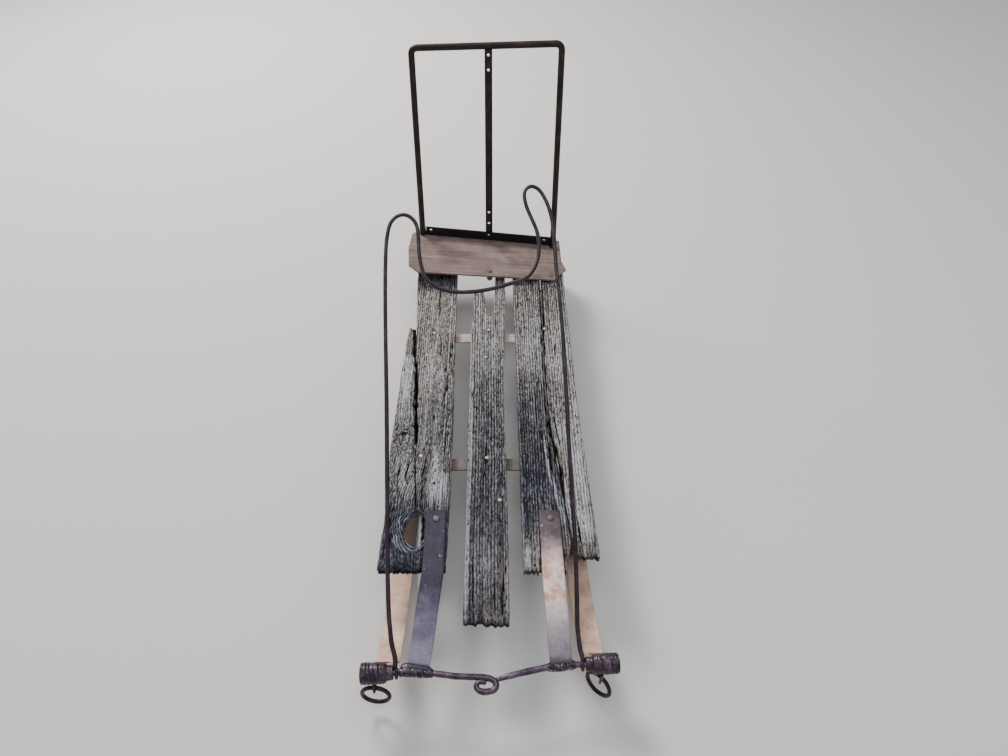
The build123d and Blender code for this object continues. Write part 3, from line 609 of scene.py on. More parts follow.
    # deep: rows of (d, amount) of painted shade, which makes the wood darker and bluer
    painted_shade = table(deep, D) * (0.75 + 0.5 * vn2(X / 26, D / 60, seed + 34)).clip(0, 1)
    painted_shade = painted_shade * (1 - 0.7 * B)
    if collar:
        cx, cd, ra, rb, wide_left, wide_front = collar
        ang = np.arctan2(D - cd, X - cx)
        off = (np.sqrt(((X - cx) / ra) ** 2 + ((D - cd) / rb) ** 2) - 1) * ra
        to_left = np.clip(-np.cos(ang), 0, 1)
        to_front = np.clip(-np.sin(ang), 0, 1)
        wide = 1.2 + wide_left * to_left ** 1.15 + wide_front * to_front ** 1.6
        wide = wide * smooth(1.0, 0.35, np.sin(ang)) * (0.86 + 0.28 * vn1(ang * 3.2 + 20, seed + 84))
        k = smooth(2.0, -2.0, off - wide) * (off > -3.0)
        # year rings of the lost knot: uneven bright crests that split and join, worn hollows between
        at = (off + 4.2 * vn1(ang * 2.3 + 10, seed + 82) + 1.5 * vn2(off / 4.0, ang * 5.0 + 30, seed + 85)) / 5.0
        crest = (0.5 + 0.5 * np.cos(2 * math.pi * (at - np.floor(at) - 0.5))) ** 1.4
        r = crest * (0.35 + 0.65 * vn2(np.floor(at) * 3.7 + 5, ang * 2.6 + 20, seed + 81))
        r = np.clip(1.05 * r + 0.36 * (vn2(off / 1.7, ang * 11.0 + 40, seed + 83) - 0.42), 0, 1)
        h = h * (1 - k) + r * k
        bowl = np.clip((off + 3) / (wide + 3), 0, 1)
        Z = Z * (1 - 0.85 * k) + k * (z_top - 4.6 * (1 - bowl) ** 1.5 + 0.8 * bowl - 2.6 * (1 - r))
        rim = np.exp(-((off - wide - 1.6) / 2.0) ** 2) * (to_left + 0.7 * to_front).clip(0, 1) * (0.3 + 0.9 * vn1(ang * 4.0 + 30, seed + 86)).clip(0, 1)
        Z = Z - 2.0 * rim
        dark = np.maximum(dark * (1 - k), 0.7 * rim)
        dark = np.maximum(dark, k * smooth(0.66, 1.0, 1 - r) * 0.62)
        outer = np.exp(-((off - wide + 2.2) / 1.8) ** 2) * smooth(0.35, 0.75, vn1(ang * 2.1 + 12, seed + 87) + 0.35 * to_front)
        B = np.maximum(B * (1 - k), k * np.clip(0.85 * r + 0.8 * outer, 0, 1))
        # painted shade fills the collar, less on its crests
        painted_shade = np.where(k > 0.3, 1.0 - 0.55 * r, painted_shade)
    # knots sink, darken and take painted shade
    Z = Z - 2.2 * rings * (0.4 + 0.6 * (1 - h))
    dark = np.maximum(dark, rings * smooth(0.25, 0.85, 1 - h) * 0.75)
    painted_shade = np.maximum(painted_shade, 0.45 * rings)
    if wedge:
        Z = Z - wedge(X, D)
    Z = np.maximum(Z, z_top - thick + 1.5)
    ZB = np.full_like(Z, z_top - thick) + 0.8 * np.abs(vn2(X / 9, D / 60, seed + 51) - 0.5)
    S = np.zeros_like(Z)
    for sx, sd, r, amount in stains:
        k = np.exp(-((X - sx) / r) ** 2 - ((D - sd) / (r * 1.5)) ** 2)
        S = np.maximum(S, amount * k)
    return shell(name, X, D, Z, ZB, mask, (h, dark, B, S), (painted_shade, T, np.full_like(Z, pitted)), seed)


def shell(name, X, D, Z, ZB, mask, paint, paint2, seed):
    ni, nj = X.shape
    used = np.zeros((ni, nj), bool)
    used[:-1, :-1] |= mask
    used[1:, :-1] |= mask
    used[:-1, 1:] |= mask
    used[1:, 1:] |= mask
    full = np.ones((ni, nj), bool)
    pad = np.zeros((ni + 1, nj + 1), bool)
    pad[1:-1, 1:-1] = mask
    full = pad[:-1, :-1] & pad[1:, :-1] & pad[:-1, 1:] & pad[1:, 1:]
    rim = used & ~full
    # worn edges: the rim drops, its neighbours a little
    near = np.zeros_like(rim)
    near[1:, :] |= rim[:-1, :]
    near[:-1, :] |= rim[1:, :]
    near &= ~rim
    Z = Z - rim * (1.6 + 2.2 * vn2(X / 5, D / 14, seed + 61)) - near * (0.5 + 0.9 * vn2(X / 5, D / 14, seed + 62))
    Z = np.maximum(Z, ZB + 1.2)
    h, dark, B, S = paint
    painted_shade, T, Q = paint2
    verts, cols, tones = [], [], []
    top = -np.ones((ni, nj), int)
    bot = -np.ones((ni, nj), int)
    for i, j in zip(*np.nonzero(used)):
        top[i, j] = len(verts)
        verts.append(P(X[i, j], D[i, j], Z[i, j]))
        cols.append((h[i, j], dark[i, j], B[i, j], S[i, j]))
        tones.append((painted_shade[i, j], T[i, j], Q[i, j], 1.0))
    # underside points: less grain darkness and a fixed amount of painted shade
    for i, j in zip(*np.nonzero(used)):
        bot[i, j] = len(verts)
        verts.append(P(X[i, j], D[i, j], ZB[i, j]))
        cols.append((h[i, j], 0.25 * dark[i, j], 0.0, 0.1))
        tones.append((0.35, T[i, j] * 0.3, 0.5, 1.0))
    faces = []
    out_x = np.zeros((ni, nj))
    out_d = np.zeros((ni, nj))
    walls = []
    for i, j in zip(*np.nonzero(mask)):
        faces.append((top[i, j], top[i + 1, j], top[i + 1, j + 1], top[i, j + 1]))
        faces.append((bot[i, j], bot[i, j + 1], bot[i + 1, j + 1], bot[i + 1, j]))
        if i == 0 or not mask[i - 1, j]:
            walls.append(((i, j + 1), (i, j)))
            for q in ((i, j), (i, j + 1)):
                out_x[q] -= 1
        if i == ni - 2 or not mask[i + 1, j]:
            walls.append(((i + 1, j), (i + 1, j + 1)))
            for q in ((i + 1, j), (i + 1, j + 1)):
                out_x[q] += 1
        if j == 0 or not mask[i, j - 1]:
            walls.append(((i, j), (i + 1, j)))
            for q in ((i, j), (i + 1, j)):
                out_d[q] -= 1
        if j == nj - 2 or not mask[i, j + 1]:
            walls.append(((i + 1, j + 1), (i, j + 1)))
            for q in ((i, j + 1), (i + 1, j + 1)):
                out_d[q] += 1
    fr = (0.2, 0.42, 0.66, 0.87)
    mids = {}

    def column(q):
        if q in mids:
            return mids[q]
        i, j = q
        ids = [top[q]]
        ox, od = out_x[q], out_d[q]
        n = math.hypot(ox, od) or 1.0
        ox, od = ox / n, od / n
        for k, t in enumerate(fr):
            z = Z[q] * (1 - t) + ZB[q] * t
            along = D[q] if abs(ox) > abs(od) else X[q]
            cut = 1.9 * float(vn2(along / (16.0 if abs(ox) > abs(od) else 3.4), z / 2.3, seed + 71)) + 0.9 * float(vn2(along / 6.0, z / 5.0, seed + 72))
            if abs(od) > abs(ox):
                cut *= 2.2
            ids.append(len(verts))
            verts.append(P(X[q] - ox * cut, D[q] - od * cut, z))
            # deeper cuts in the ends are painted darker, as shade between the fibres
            cols.append((float(1.0 - min(1.0, cut / 4.5)) * 0.85, min(1.0, cut / 6.0), B[q] * 0.6, S[q]))
            tones.append((painted_shade[q], T[q], 0.6, 1.0))
        ids.append(bot[q])
        mids[q] = ids
        return ids

    for a, b in walls:
        ca, cb = column(a), column(b)
        for k in range(len(ca) - 1):
            faces.append((ca[k], ca[k + 1], cb[k + 1], cb[k]))
    me = bpy.data.meshes.new(name)
    me.from_pydata([tuple(v) for v in verts], [], faces)
    layer = me.color_attributes.new("grain", "FLOAT_COLOR", "POINT")
    layer.data.foreach_set("color", np.array(cols, np.float32).ravel())
    layer = me.color_attributes.new("tone", "FLOAT_COLOR", "POINT")
    layer.data.foreach_set("color", np.array(tones, np.float32).ravel())
    bm = bmesh.new()
    bm.from_mesh(me)
    bmesh.ops.recalc_face_normals(bm, faces=bm.faces)
    for f in bm.faces:
        f.smooth = True
    bm.to_mesh(me)
    bm.free()
    ob = bpy.data.objects.new(name, me)
    bpy.context.scene.collection.objects.link(ob)
    return ob


def join_objects(name, obs):
    """Merge board shells into one object, keeping the point colours."""
    with bpy.context.temp_override(active_object=obs[0], object=obs[0], selected_objects=obs, selected_editable_objects=obs):
        bpy.ops.object.join()
    obs[0].name = name
    return obs[0]


NAILS = [(-147, 1249), (-3, 1261), (-10, 1162), (146, 1265), (-156, 855), (-7, 850), (21, 741)]
stain_nails = [(x, d, 7.0, 0.8) for x, d in NAILS]

# left board: knot hole and the split that runs back from it, broken outer strip
LEFT_GAP = [(582, -150.6, -149.8), (630, -150.0, -149.2), (633, -151, -147), (636, -158, -143), (640, -167, -142), (647, -172.5, -145), (654, -177, -143.4), (661, -179, -145.2), (670, -181.3, -143.0), (680, -180, -145.5),
            (688, -180, -143.4), (700, -174, -146), (707, -170.5, -144.6), (713, -164.5, -147), (718, -159.5, -150), (722, -160.6, -158.6), (726, -160.7, -159.9), (770, -162.2, -161.4), (850, -169.5, -168.7), (900, -171.6, -170.8),
            (930, -173.5, -172.7), (985, -176.5, -175.7), (1030, -180.0, -179.2), (1080, -184.2, -183.4), (1150, -190.2, -189.4), (1174, -198, -189), (1265, -199, -196), (1450, -208, -207), (1655, -214, -213)]
left_main = board(
    "left_board_weathered", rows_between(582, 1655, 138.0, 0.0, 2.2, 3.9), [(582, -226), (700, -223), (800, -226), (900, -228.5), (950, -226.5), (1000, -225.5), (1174, -221.5), (1200, -221), (1655, -221)],
    [(582, -89), (760, -85.5), (1000, -88), (1380, -93), (1655, -94)], 122, 100, gap=LEFT_GAP, end_left=1172,
    knots=[(-199, 908, 22, 8)], fray=(6.0, 18.0), pitch=8.0,
    bends=[(-165, -100, 735, 860, -30.0), (-175, -95, 1010, 900, -10.0)],
    cracks=[([(-160, 714), (-160.2, 735), (-161.8, 775), (-169.1, 850), (-171, 895)], 1.3, 9.0),
            ([(-170.6, 876), (-171.2, 900), (-173.1, 930), (-176.1, 985), (-179.6, 1030), (-183.8, 1080), (-189.8, 1150), (-192.6, 1178)], 3.5, 21.0),
            ([(-146, 730), (-147, 760), (-149, 800), (-143, 850), (-136, 885)], 1.1, 3.5),
            ([(-172, 760), (-186, 800), (-180, 850), (-172, 885)], 1.5, 5.0), ([(-196, 745), (-204, 790), (-198, 850)], 1.3, 4.5),
            ([(-224, 728), (-214, 730), (-200, 733)], 1.2, 5.0),
            ([(-130, 815), (-127, 835), (-124, 856)], 1.8, 6.0),
            ([(-118, 600), (-116, 690), (-121, 760)], 1.2, 4.0),
            ([(-128, 1150), (-126, 1200), (-129, 1260)], 1.0, 3.0), ([(-112, 1010), (-108, 1060), (-106, 1120)], 1.2, 4.0),
            ([(-131, 890), (-128, 930), (-131, 980)], 1.3, 5.0), ([(-215, 590), (-213, 660), (-206, 740)], 1.4, 5.0),
            ([(-140, 1290), (-137, 1360), (-142, 1440)], 1.1, 4.0), ([(-120, 1330), (-118, 1400)], 1.0, 3.0)],
    hollows=[(-141, 676, 13.5, 39, 18.0, 1.0), (-143, 728, 12.0, 11, 5.0, 0.5), (-168, 728, 9.0, 9, 3.0, 0.4), (-131, 856, 6.0, 6.5, 7.0, 0.7), (-100, 1172, 5.5, 9, 9.0, 0.9), (-106, 1057, 3.6, 8, 6.0, 0.9), (-132, 966, 4.0, 8, 6.0, 0.8), (-93, 1115, 3.4, 16, 7.0, 0.9), (-157, 735, 3.0, 22, 9.0, 0.9),
             (-188, 925, 10.0, 5.0, 5.0, 0.8), (-206, 893, 7.0, 11.0, 6.0, 0.8), (-142, 752, 5.0, 12, 5.0, 0.6), (-98, 1200, 5.0, 14, 5.0, 0.8), (-110, 1120, 4.0, 5, 5.0, 0.8), (-92, 1225, 4, 9, 5.0, 0.8)],
    bleach=[(-116, 775, 21, 46, 1.0), (-122, 830, 9, 40, 0.95), (-206, 1085, 15, 100, 1.0), (-206, 985, 17, 40, 0.55), (-188, 815, 30, 55, 0.42), (-155, 1170, 13, 4, 1.0),
            (-144, 1100, 30, 70, 0.30), (-210, 1150, 12, 30, 0.9), (-112, 700, 14, 40, 0.45)],
    blades=[([(-127, 905), (-128, 950), (-130, 985)], 3.2, 0.75, 0.8), ([(-150, 880), (-153, 940), (-151, 1000)], 2.4, 0.45, 0.5), ([(-113, 880), (-110, 910)], 2.5, 0.5, 0.5),
            ([(-140, 1180), (-139, 1260), (-141, 1340)], 2.2, 0.5, 0.6)],
    tans=[(-165, 1040, 14, 24, 0.8), (-176, 985, 8, 30, 0.5), (-118, 840, 12, 24, 0.35), (-150, 1300, 60, 60, 0.25), (-104, 1150, 14, 50, 0.3)],
    deep=[(560, 1.0), (715, 0.92), (760, 0.42), (840, 0.30), (1010, 0.38), (1060, 0.08), (1400, 0.05), (1430, 0.7), (1700, 0.8)],
    collar=(-155.5, 676, 25.6, 43.0, 25.0, 4.5),
    stains=[q for q in stain_nails if q[0] < -80], depth=1.9, front_depth=3.6)
sliver = board("left_board_sliver", rows_between(1166, 1290, 8.0, 12.0, 2.0, 4.6), [(1166, -221.5), (1230, -222), (1288, -217), (1290, -216)],
               [(1166, -190.6), (1180, -191.2), (1200, -192.4), (1230, -194.6), (1265, -197.6), (1288, -200), (1290, -201)], 26, 170, fray=(0.0, 20.0), fray_rear=(9.0, 16.0), depth=1.4, front_depth=0.0, nose=0.0,
               z_top=-12.0, thick=12.0, cracks=[([(-194.5, 1150), (-195, 1190), (-197.4, 1230), (-200.5, 1265), (-203, 1320)], 4.6, 10.5)],
               bleach=[(-210, 1200, 20, 60, 0.2)], deep=[(0, 0.25), (2000, 0.25)], tans=[(-210, 1230, 20, 50, 0.35)])
left_board = join_objects("left_board_weathered", [left_main, sliver])
finish_piece(left_board, M["wood_left"], "sled", ["left_board"])

# centre board: forked at the rear
CENTRE_GAP = [(475, 0.2, 1.4), (1322, -3.2, -2.0), (1330, -5, 0), (1350, -11, 9), (1380, -13.5, 11.5), (1420, -18.5, 14), (1445, -19, 14.5), (1640, -19, 17.5)]
centre_board = board(
    "centre_board_weathered", rows_between(474.5, 1640, 70.0, 0.0, 1.8, 3.8), [(474.5, -52), (700, -50.5), (980, -52), (1240, -50), (1434, -44.5), (1640, -44)],
    [(474.5, 38), (860, 37), (1050, 35), (1200, 37.5), (1380, 43), (1640, 45)], 80, 200, gap=CENTRE_GAP, end_left=1430,
    knots=[(-6, 848, 7, 3), (24, 760, 6, 3)], fray=(9.0, 22.0), pitch=12.5, nose=5.0,
    cracks=[([(-34, 500), (-33, 560), (-36, 610)], 1.2, 4.0), ([(8, 480), (9, 530), (6, 580)], 1.1, 4.0), ([(22, 476), (24, 540), (27, 590)], 1.3, 5.0),
            ([(-12, 780), (-9, 850), (-10, 905)], 1.3, 5.0), ([(30, 560), (32, 610)], 1.2, 5.0), ([(-20, 1330), (-22, 1280), (-20, 1220)], 1.0, 3.5),
            ([(12, 1330), (14, 1280), (13, 1235)], 1.0, 3.5), ([(-42, 1000), (-40, 1070)], 1.0, 3.0), ([(3, 930), (5, 990)], 1.0, 3.0)],
    hollows=[(26, 545, 3.6, 7, 5.0, 0.8), (18, 590, 3.0, 5, 4.0, 0.8), (2, 905, 3.4, 6, 5.0, 0.8), (33, 610, 2.6, 7, 4.0, 0.8), (20, 640, 3.2, 5, 4.0, 0.8), (-15, 700, 2.6, 5, 3.0, 0.8), (8, 1240, 3.0, 6, 4.0, 0.8)],
    bleach=[(-47, 620, 5, 190, 0.85), (-45, 900, 5, 200, 0.7), (-20, 590, 22, 60, 0.28), (0, 1240, 44, 110, 0.30), (34, 560, 5, 70, 0.5)],
    blades=[([(-30, 1330), (-28, 1390), (-29, 1430)], 3.0, 0.7, 0.6), ([(-2, 560), (0, 600), (-3, 640)], 2.2, 0.5, 0.8), ([(20, 1340), (26, 1420), (27, 1500)], 3.0, 0.6, 0.5)],
    tans=[(24, 560, 26, 80, 0.40), (10, 500, 40, 30, 0.35), (10, 1300, 30, 60, 0.2)],
    deep=[(460, 0.62), (560, 0.72), (700, 0.86), (900, 0.62), (1050, 0.45), (1130, 0.14), (1400, 0.06), (1440, 0.5), (1700, 0.7)],
    stains=[q for q in stain_nails if -60 < q[0] < 50] + [(-7, 872, 10.0, 0.3)], depth=1.7, front_depth=5.0)
finish_piece(centre_board, M["wood_centre"], "sled", ["centre_board"])

right_inner = board(
    "right_inner_weathered", rows_between(577, 1655, 70.0, 0.0, 1.8, 3.8), [(577, 67), (700, 66), (1000, 66.5), (1655, 65)],
    [(577, 153), (600, 157), (640, 166), (700, 162.5), (739, 158.5), (837, 148.0), (962, 138), (1127, 137.2), (1380, 144), (1655, 148)], 86, 300,
    fray=(14.0, 20.0), pitch=7.0, nose=3.0,
    cracks=[([(147.4, 826), (146.6, 837), (136.6, 962), (135.8, 1127), (142.6, 1380), (147, 1660)], 2.6, 19.0),
            ([(136, 600), (139, 680), (134, 745)], 1.8, 9.0), ([(104, 577), (105, 630), (103, 660)], 1.3, 5.0),
            ([(84, 577), (85, 630)], 1.3, 5.0), ([(135, 900), (136, 850), (139, 800)], 2.0, 9.0), ([(120, 880), (118, 920), (121, 960)], 1.2, 4.0), ([(147, 640), (143, 700), (140, 745)], 1.7, 8.0),
            ([(92, 1200), (94, 1280), (91, 1350)], 1.1, 3.5), ([(118, 1130), (120, 1210)], 1.1, 3.5), ([(112, 930), (110, 1000), (113, 1050)], 1.2, 4.5), ([(76, 1330), (78, 1420)], 1.0, 3.0)],
    hollows=[(124, 880, 4.5, 10, 9.0, 0.8), (146, 615, 9.0, 18, 6.0, 0.8), (128, 640, 6.0, 16, 5.0, 0.8), (101, 600, 3.0, 10, 5.0, 0.8), (134, 1010, 3.4, 18, 6.0, 0.8), (84, 1260, 3, 6, 3.5, 0.8)],
    bleach=[(78, 605, 12, 36, 0.60), (104, 1230, 44, 120, 0.32), (99, 600, 10, 30, 0.5)],
    blades=[([(124.5, 910), (126, 880), (130, 820), (134, 780)], 2.8, 0.95, 0.7), ([(139, 800), (142, 760), (147, 715), (150, 680)], 2.4, 0.9, 0.5), ([(149, 750), (154, 705), (157, 672)], 1.9, 0.8, 0.5),
            ([(130, 1060), (131, 1120), (129, 1180)], 1.8, 0.5, 0.5)],
    tans=[(143, 838, 6, 14, 0.5), (110, 590, 50, 24, 0.45), (140, 620, 20, 40, 0.5)],
    deep=[(560, 0.35), (640, 0.45), (680, 0.80), (800, 0.92), (980, 0.80), (1060, 0.50), (1130, 0.12), (1400, 0.06), (1440, 0.5), (1700, 0.7)],
    stains=[(142, 1265, 8.0, 0.6)], depth=1.8, front_depth=5.0)
finish_piece(right_inner, M["wood_right"], "sled", ["right_board_inner"])

right_outer = board(
    "right_outer_weathered", rows_between(607, 1655, 70.0, 0.0, 1.8, 3.8), [(607, 173.0), (665, 169.0), (739, 160.3), (837, 149.4), (962, 139.2), (1127, 138.4), (1380, 145.2), (1655, 149.2)],
    [(607, 223.5), (739, 218.5), (860, 215.5), (997, 211.5), (1655, 211.5)], 66, 400,
    fray=(13.0, 18.0), pitch=8.0, nose=3.0,
    cracks=[([(150.6, 836), (140.4, 962), (139.6, 1127), (146.4, 1380), (150.4, 1660)], 2.2, 17.0),
            ([(188, 607), (186, 660), (182, 700)], 1.4, 6.0), ([(203, 607), (201, 650)], 1.3, 5.0), ([(213, 608), (211, 650)], 1.2, 5.0),
            ([(163, 725), (158, 800), (153, 860), (147, 905)], 2.8, 13.0), ([(160, 870), (156, 930), (150, 990)], 1.5, 6.0), ([(196, 1380), (194, 1460)], 1.1, 3.5), ([(168, 1150), (170, 1230)], 1.1, 3.5)],
    hollows=[(150, 915, 5.0, 12, 10.0, 0.8), (146, 1000, 3.0, 20, 7.0, 0.8), (178, 612, 6.0, 8, 6.0, 0.8)],
    bleach=[(200, 800, 15, 110, 0.9), (198, 690, 18, 50, 0.85), (157, 912, 7, 44, 0.9), (186, 900, 16, 100, 0.55), (205, 950, 8, 120, 0.7), (180, 1180, 40, 120, 0.34)],
    blades=[([(170, 700), (167, 750), (164, 800)], 2.2, 0.85, 0.5), ([(176, 760), (172, 820), (169, 880)], 1.8, 0.7, 0.5), ([(190, 690), (187, 760), (184, 840)], 1.8, 0.6, 0.5), ([(160, 930), (157, 970)], 2.0, 0.7, 0.5), ([(176, 620), (174, 690)], 2.4, 0.7, 0.6)],
    tans=[(160, 842, 7, 13, 0.9), (190, 615, 40, 16, 0.35)],
    deep=[(560, 0.18), (700, 0.22), (760, 0.16), (980, 0.22), (1060, 0.25), (1130, 0.08), (1400, 0.05), (1440, 0.5), (1700, 0.7)],
    stains=[(149, 1265, 7.0, 0.6)], depth=1.8, front_depth=5.0, pitted=0.4)
finish_piece(right_outer, M["wood_right"], "sled", ["right_board_outer"])

# ------------------------------------------------------------------ nails
parts = []
for n, (x, d) in enumerate(NAILS):
    size = 4.4
    turn = 0.35 * n
    lean_x, lean_y = 0.10 * math.sin(n * 2.1), 0.14 * math.cos(n * 1.7)
    ring_v = []
    for z, r in ((-6.0, 2.0), (-0.9, 2.2), (-0.6, size * 0.93), (0.3, size), (1.2, size * 0.86), (1.7, size * 0.45)):
        for k in range(12):
            a = 2 * math.pi * k / 12 + turn
            sq = 1.0 / max(abs(math.cos(2 * math.pi * k / 12)), abs(math.sin(2 * math.pi * k / 12)))
            rr = r * (1 + 0.55 * (min(sq, 1.25) - 1)) * (1 + 0.06 * math.sin(3 * a + n))
            ring_v.append(P(x + rr * math.cos(a), d + rr * math.sin(a), z + (rr * math.cos(a)) * lean_x + (rr * math.sin(a)) * lean_y))
    f = []
    for lev in range(5):
        for k in range(12):
            k2 = (k + 1) % 12
            f.append((lev * 12 + k, lev * 12 + k2, (lev + 1) * 12 + k2, (lev + 1) * 12 + k))
    f.append(tuple(range(11, -1, -1)))
    f.append(tuple(range(60, 72)))
    parts.append((ring_v, f))
nails = join_meshes("board_nails", parts)
finish_piece(nails, M["nail"], "sled", ())

# ------------------------------------------------------------------ front bar, curl, coils
AXIS_A, AXIS_B = P(-174, 402, -46), P(173, 416, -46)
AXIS = (AXIS_B - AXIS_A).normalized()
BACK = Vector((0, 0, 1)).cross(AXIS).normalized()
UP = Vector((0, 0, 1))
BAR_R = 0.006


def on_bar(x):
    return AXIS_A + AXIS * (((x - X_MID) / 1000.0 - AXIS_A.x) / AXIS.x)


def round_bar(c, r, a):
    """Point at radius r round the bar's centre c, angle a from backwards, upwards positive."""
    return c + (BACK * math.cos(a) + UP * math.sin(a)) * r


bar_pts = [on_bar(-239), on_bar(-190), on_bar(-160), P(-140, 402.4, -46), P(-112, 400.6, -46), P(-90, 398.6, -46), P(-62.8, 395.2, -46), P(-36.7, 394.1, -46), P(-18.2, 393.3, -46),
           P(-3.3, 391.7, -46), P(3.7, 389.4, -46), P(9.1, 385.5, -46), P(11.3, 380.3, -46), P(9.8, 374.2, -46), P(4.0, 369.9, -46), P(-8.8, 367.9, -46), P(-17.9, 369.4, -46),
           P(-23.9, 373.8, -46), P(-25.0, 379.1, -46), P(-22.1, 383.4, -46), P(-16.6, 385.4, -46), P(-11.1, 384.7, -46), P(-8.0, 383.0, -46)]


def bar_radius(t):
    return BAR_R * (1.0 - 0.08 * float(smooth(0.86, 0.93, t)) - 0.20 * float(smooth(0.93, 1.0, t))) - 0.00015


parts = [tube_mesh(spline(bar_pts, 0.0025), bar_radius, 22, 0.00045, 75.0, 5)]
right_pts = [on_bar(241.9), on_bar(190), on_bar(160), P(135, 412.6, -46), P(114, 411.4, -46), P(103, 410.2, -46), P(84.5, 406.6, -46), P(65.7, 402.7, -46), P(39.4, 396.4, -46),
             P(28.2, 393.5, -46), P(18.0, 390.6, -46), P(12.5, 389.0, -46)]
parts.append(tube_mesh(spline(right_pts, 0.0025), lambda t: BAR_R * (1.0 - 0.28 * float(smooth(0.87, 1.0, t))) - 0.00015, 22, 0.00045, 75.0, 6))
front_bar = join_meshes("front_bar_forged", parts)
finish_piece(front_bar, M["bar"], "sled", ["front_bar"])


def turned(x0, x1, profile, groove, pitch, seed, seg=72, step=0.00065, inner=0.0062, lump=0.0003, lead=1.0, sharp=0.13, streak=0.0, cuts=()):
    """A barrel on the bar's axis from x0 to x1. profile: rows of (share, radius in mm); a helical groove of
    the given depth runs round it, deeper in some places than in others."""
    a0, a1 = on_bar(x0), on_bar(x1)
    length = (a1 - a0).length
    n = max(12, int(length / step))
    verts, faces = [], []
    for i in range(n + 1):
        t = i / n
        c = a0 + AXIS * (length * t)
        base = float(table(profile, t)) / 1000.0
        for k in range(seg):
            ang = 2 * math.pi * k / seg
            phase = lead * (length * t) / pitch - k / seg + 0.06 * math.sin(3 * ang + seed)
            turn_no = math.floor(phase + 0.5)
            away = abs(phase - turn_no)
            amount = 0.35 + 0.65 * float(vn2(np.array(turn_no * 3.7 + seed), np.array(math.sin(ang) * 0.8 + turn_no), seed))
            cut = groove * amount * math.exp(-(away / sharp) ** 2)
            crown = 0.35 * groove * (1 - 4 * away * away)
            if cuts:
                run, cut = length * t * 1000.0, 0.0
                for share, deep, wide, sway in cuts:
                    place = share * length * 1000.0 + sway * math.sin(ang + share * 9.0) + 0.3 * sway * math.sin(3 * ang + share * 23.0)
                    cut += deep / 1000.0 * (0.7 + 0.3 * math.sin(ang * 2 + share * 17.0)) * math.exp(-((run - place) / wide) ** 2)
                crown = 0.0
            q = round_bar(c, base, ang)
            r = base - cut + crown * 0.5 + lump * vn3(q, 95.0, seed + 3) + 0.5 * lump * vn3(q, 230.0, seed + 4)
            if streak:
                r += streak * (float(vn2(np.array((length * t) * 260 - ang * 1.9), np.array(ang * 1.2 + (length * t) * 60), seed + 5)) - 0.5)
            verts.append(round_bar(c, max(r, inner + 0.0006), ang))
    for i in range(n):
        for k in range(seg):
            k2 = (k + 1) % seg
            faces.append((i * seg + k, i * seg + k2, (i + 1) * seg + k2, (i + 1) * seg + k))
    # ends down to the bar, and the inner face
    base_in = len(verts)
    for c in (a0, a1):
        for k in range(seg):
            verts.append(round_bar(c, inner, 2 * math.pi * k / seg))
    for k in range(seg):
        k2 = (k + 1) % seg
        faces.append((k, k2, base_in + k2, base_in + k))
        faces.append((n * seg + k, n * seg + k2, base_in + seg + k2, base_in + seg + k))
        faces.append((base_in + k, base_in + k2, base_in + seg + k2, base_in + seg + k))
    return verts, faces


def closed_ring(centre, u, v, ru, rv, wire, seg=64, around=14, seed=1, lump=0.00012):
    """A round wire ring in the plane of u and v."""
    verts, faces = [], []
    w = u.cross(v).normalized()
    for i in range(seg):
        t = 2 * math.pi * i / seg
        c = centre + u * (ru * math.cos(t)) + v * (rv * math.sin(t))
        out = (u * math.cos(t) + v * math.sin(t)).normalized()
        for k in range(around):
            a = 2 * math.pi * k / around
            q = c + out * (wire * math.cos(a)) + w * (wire * math.sin(a))
            verts.append(q + (q - c).normalized() * (lump * vn3(q, 150.0, seed)))
    for i in range(seg):
        i2 = (i + 1) % seg
        for k in range(around):
            k2 = (k + 1) % around
            faces.append((i * seg // seg * around + k, i * around + k2, i2 * around + k2, i2 * around + k))
    return verts, faces


COIL_R = 0.0200
# grooves of the barrels: share of the length, depth, half width and sway in mm
COIL_CUTS = {
    "left": [(0.10, 2.0, 0.9, 0.5), (0.245, 1.7, 0.8, 0.5), (0.37, 2.1, 0.9, 0.6), (0.51, 1.5, 0.8, 0.5), (0.68, 2.3, 1.0, 0.7), (0.825, 1.7, 0.8, 0.5), (0.94, 1.2, 0.7, 0.4)],
    "right": [(0.09, 1.9, 0.9, 0.5), (0.20, 1.4, 0.8, 0.5), (0.345, 2.2, 0.9, 0.6), (0.42, 0.8, 0.6, 0.4), (0.69, 2.1, 0.9, 0.5), (0.82, 1.2, 0.8, 0.4), (0.945, 1.9, 0.9, 0.4)],
}
# the winding carries on over the runner's rolled end
NECKS = {
    "left": (-190.8, -179.6, [(0, 14.4), (0.3, 13.6), (0.8, 13.0), (1, 12.6)]),
    "right": (179.4, 191.0, [(0, 12.6), (0.3, 13.2), (0.8, 13.4), (1, 14.2)]),
}
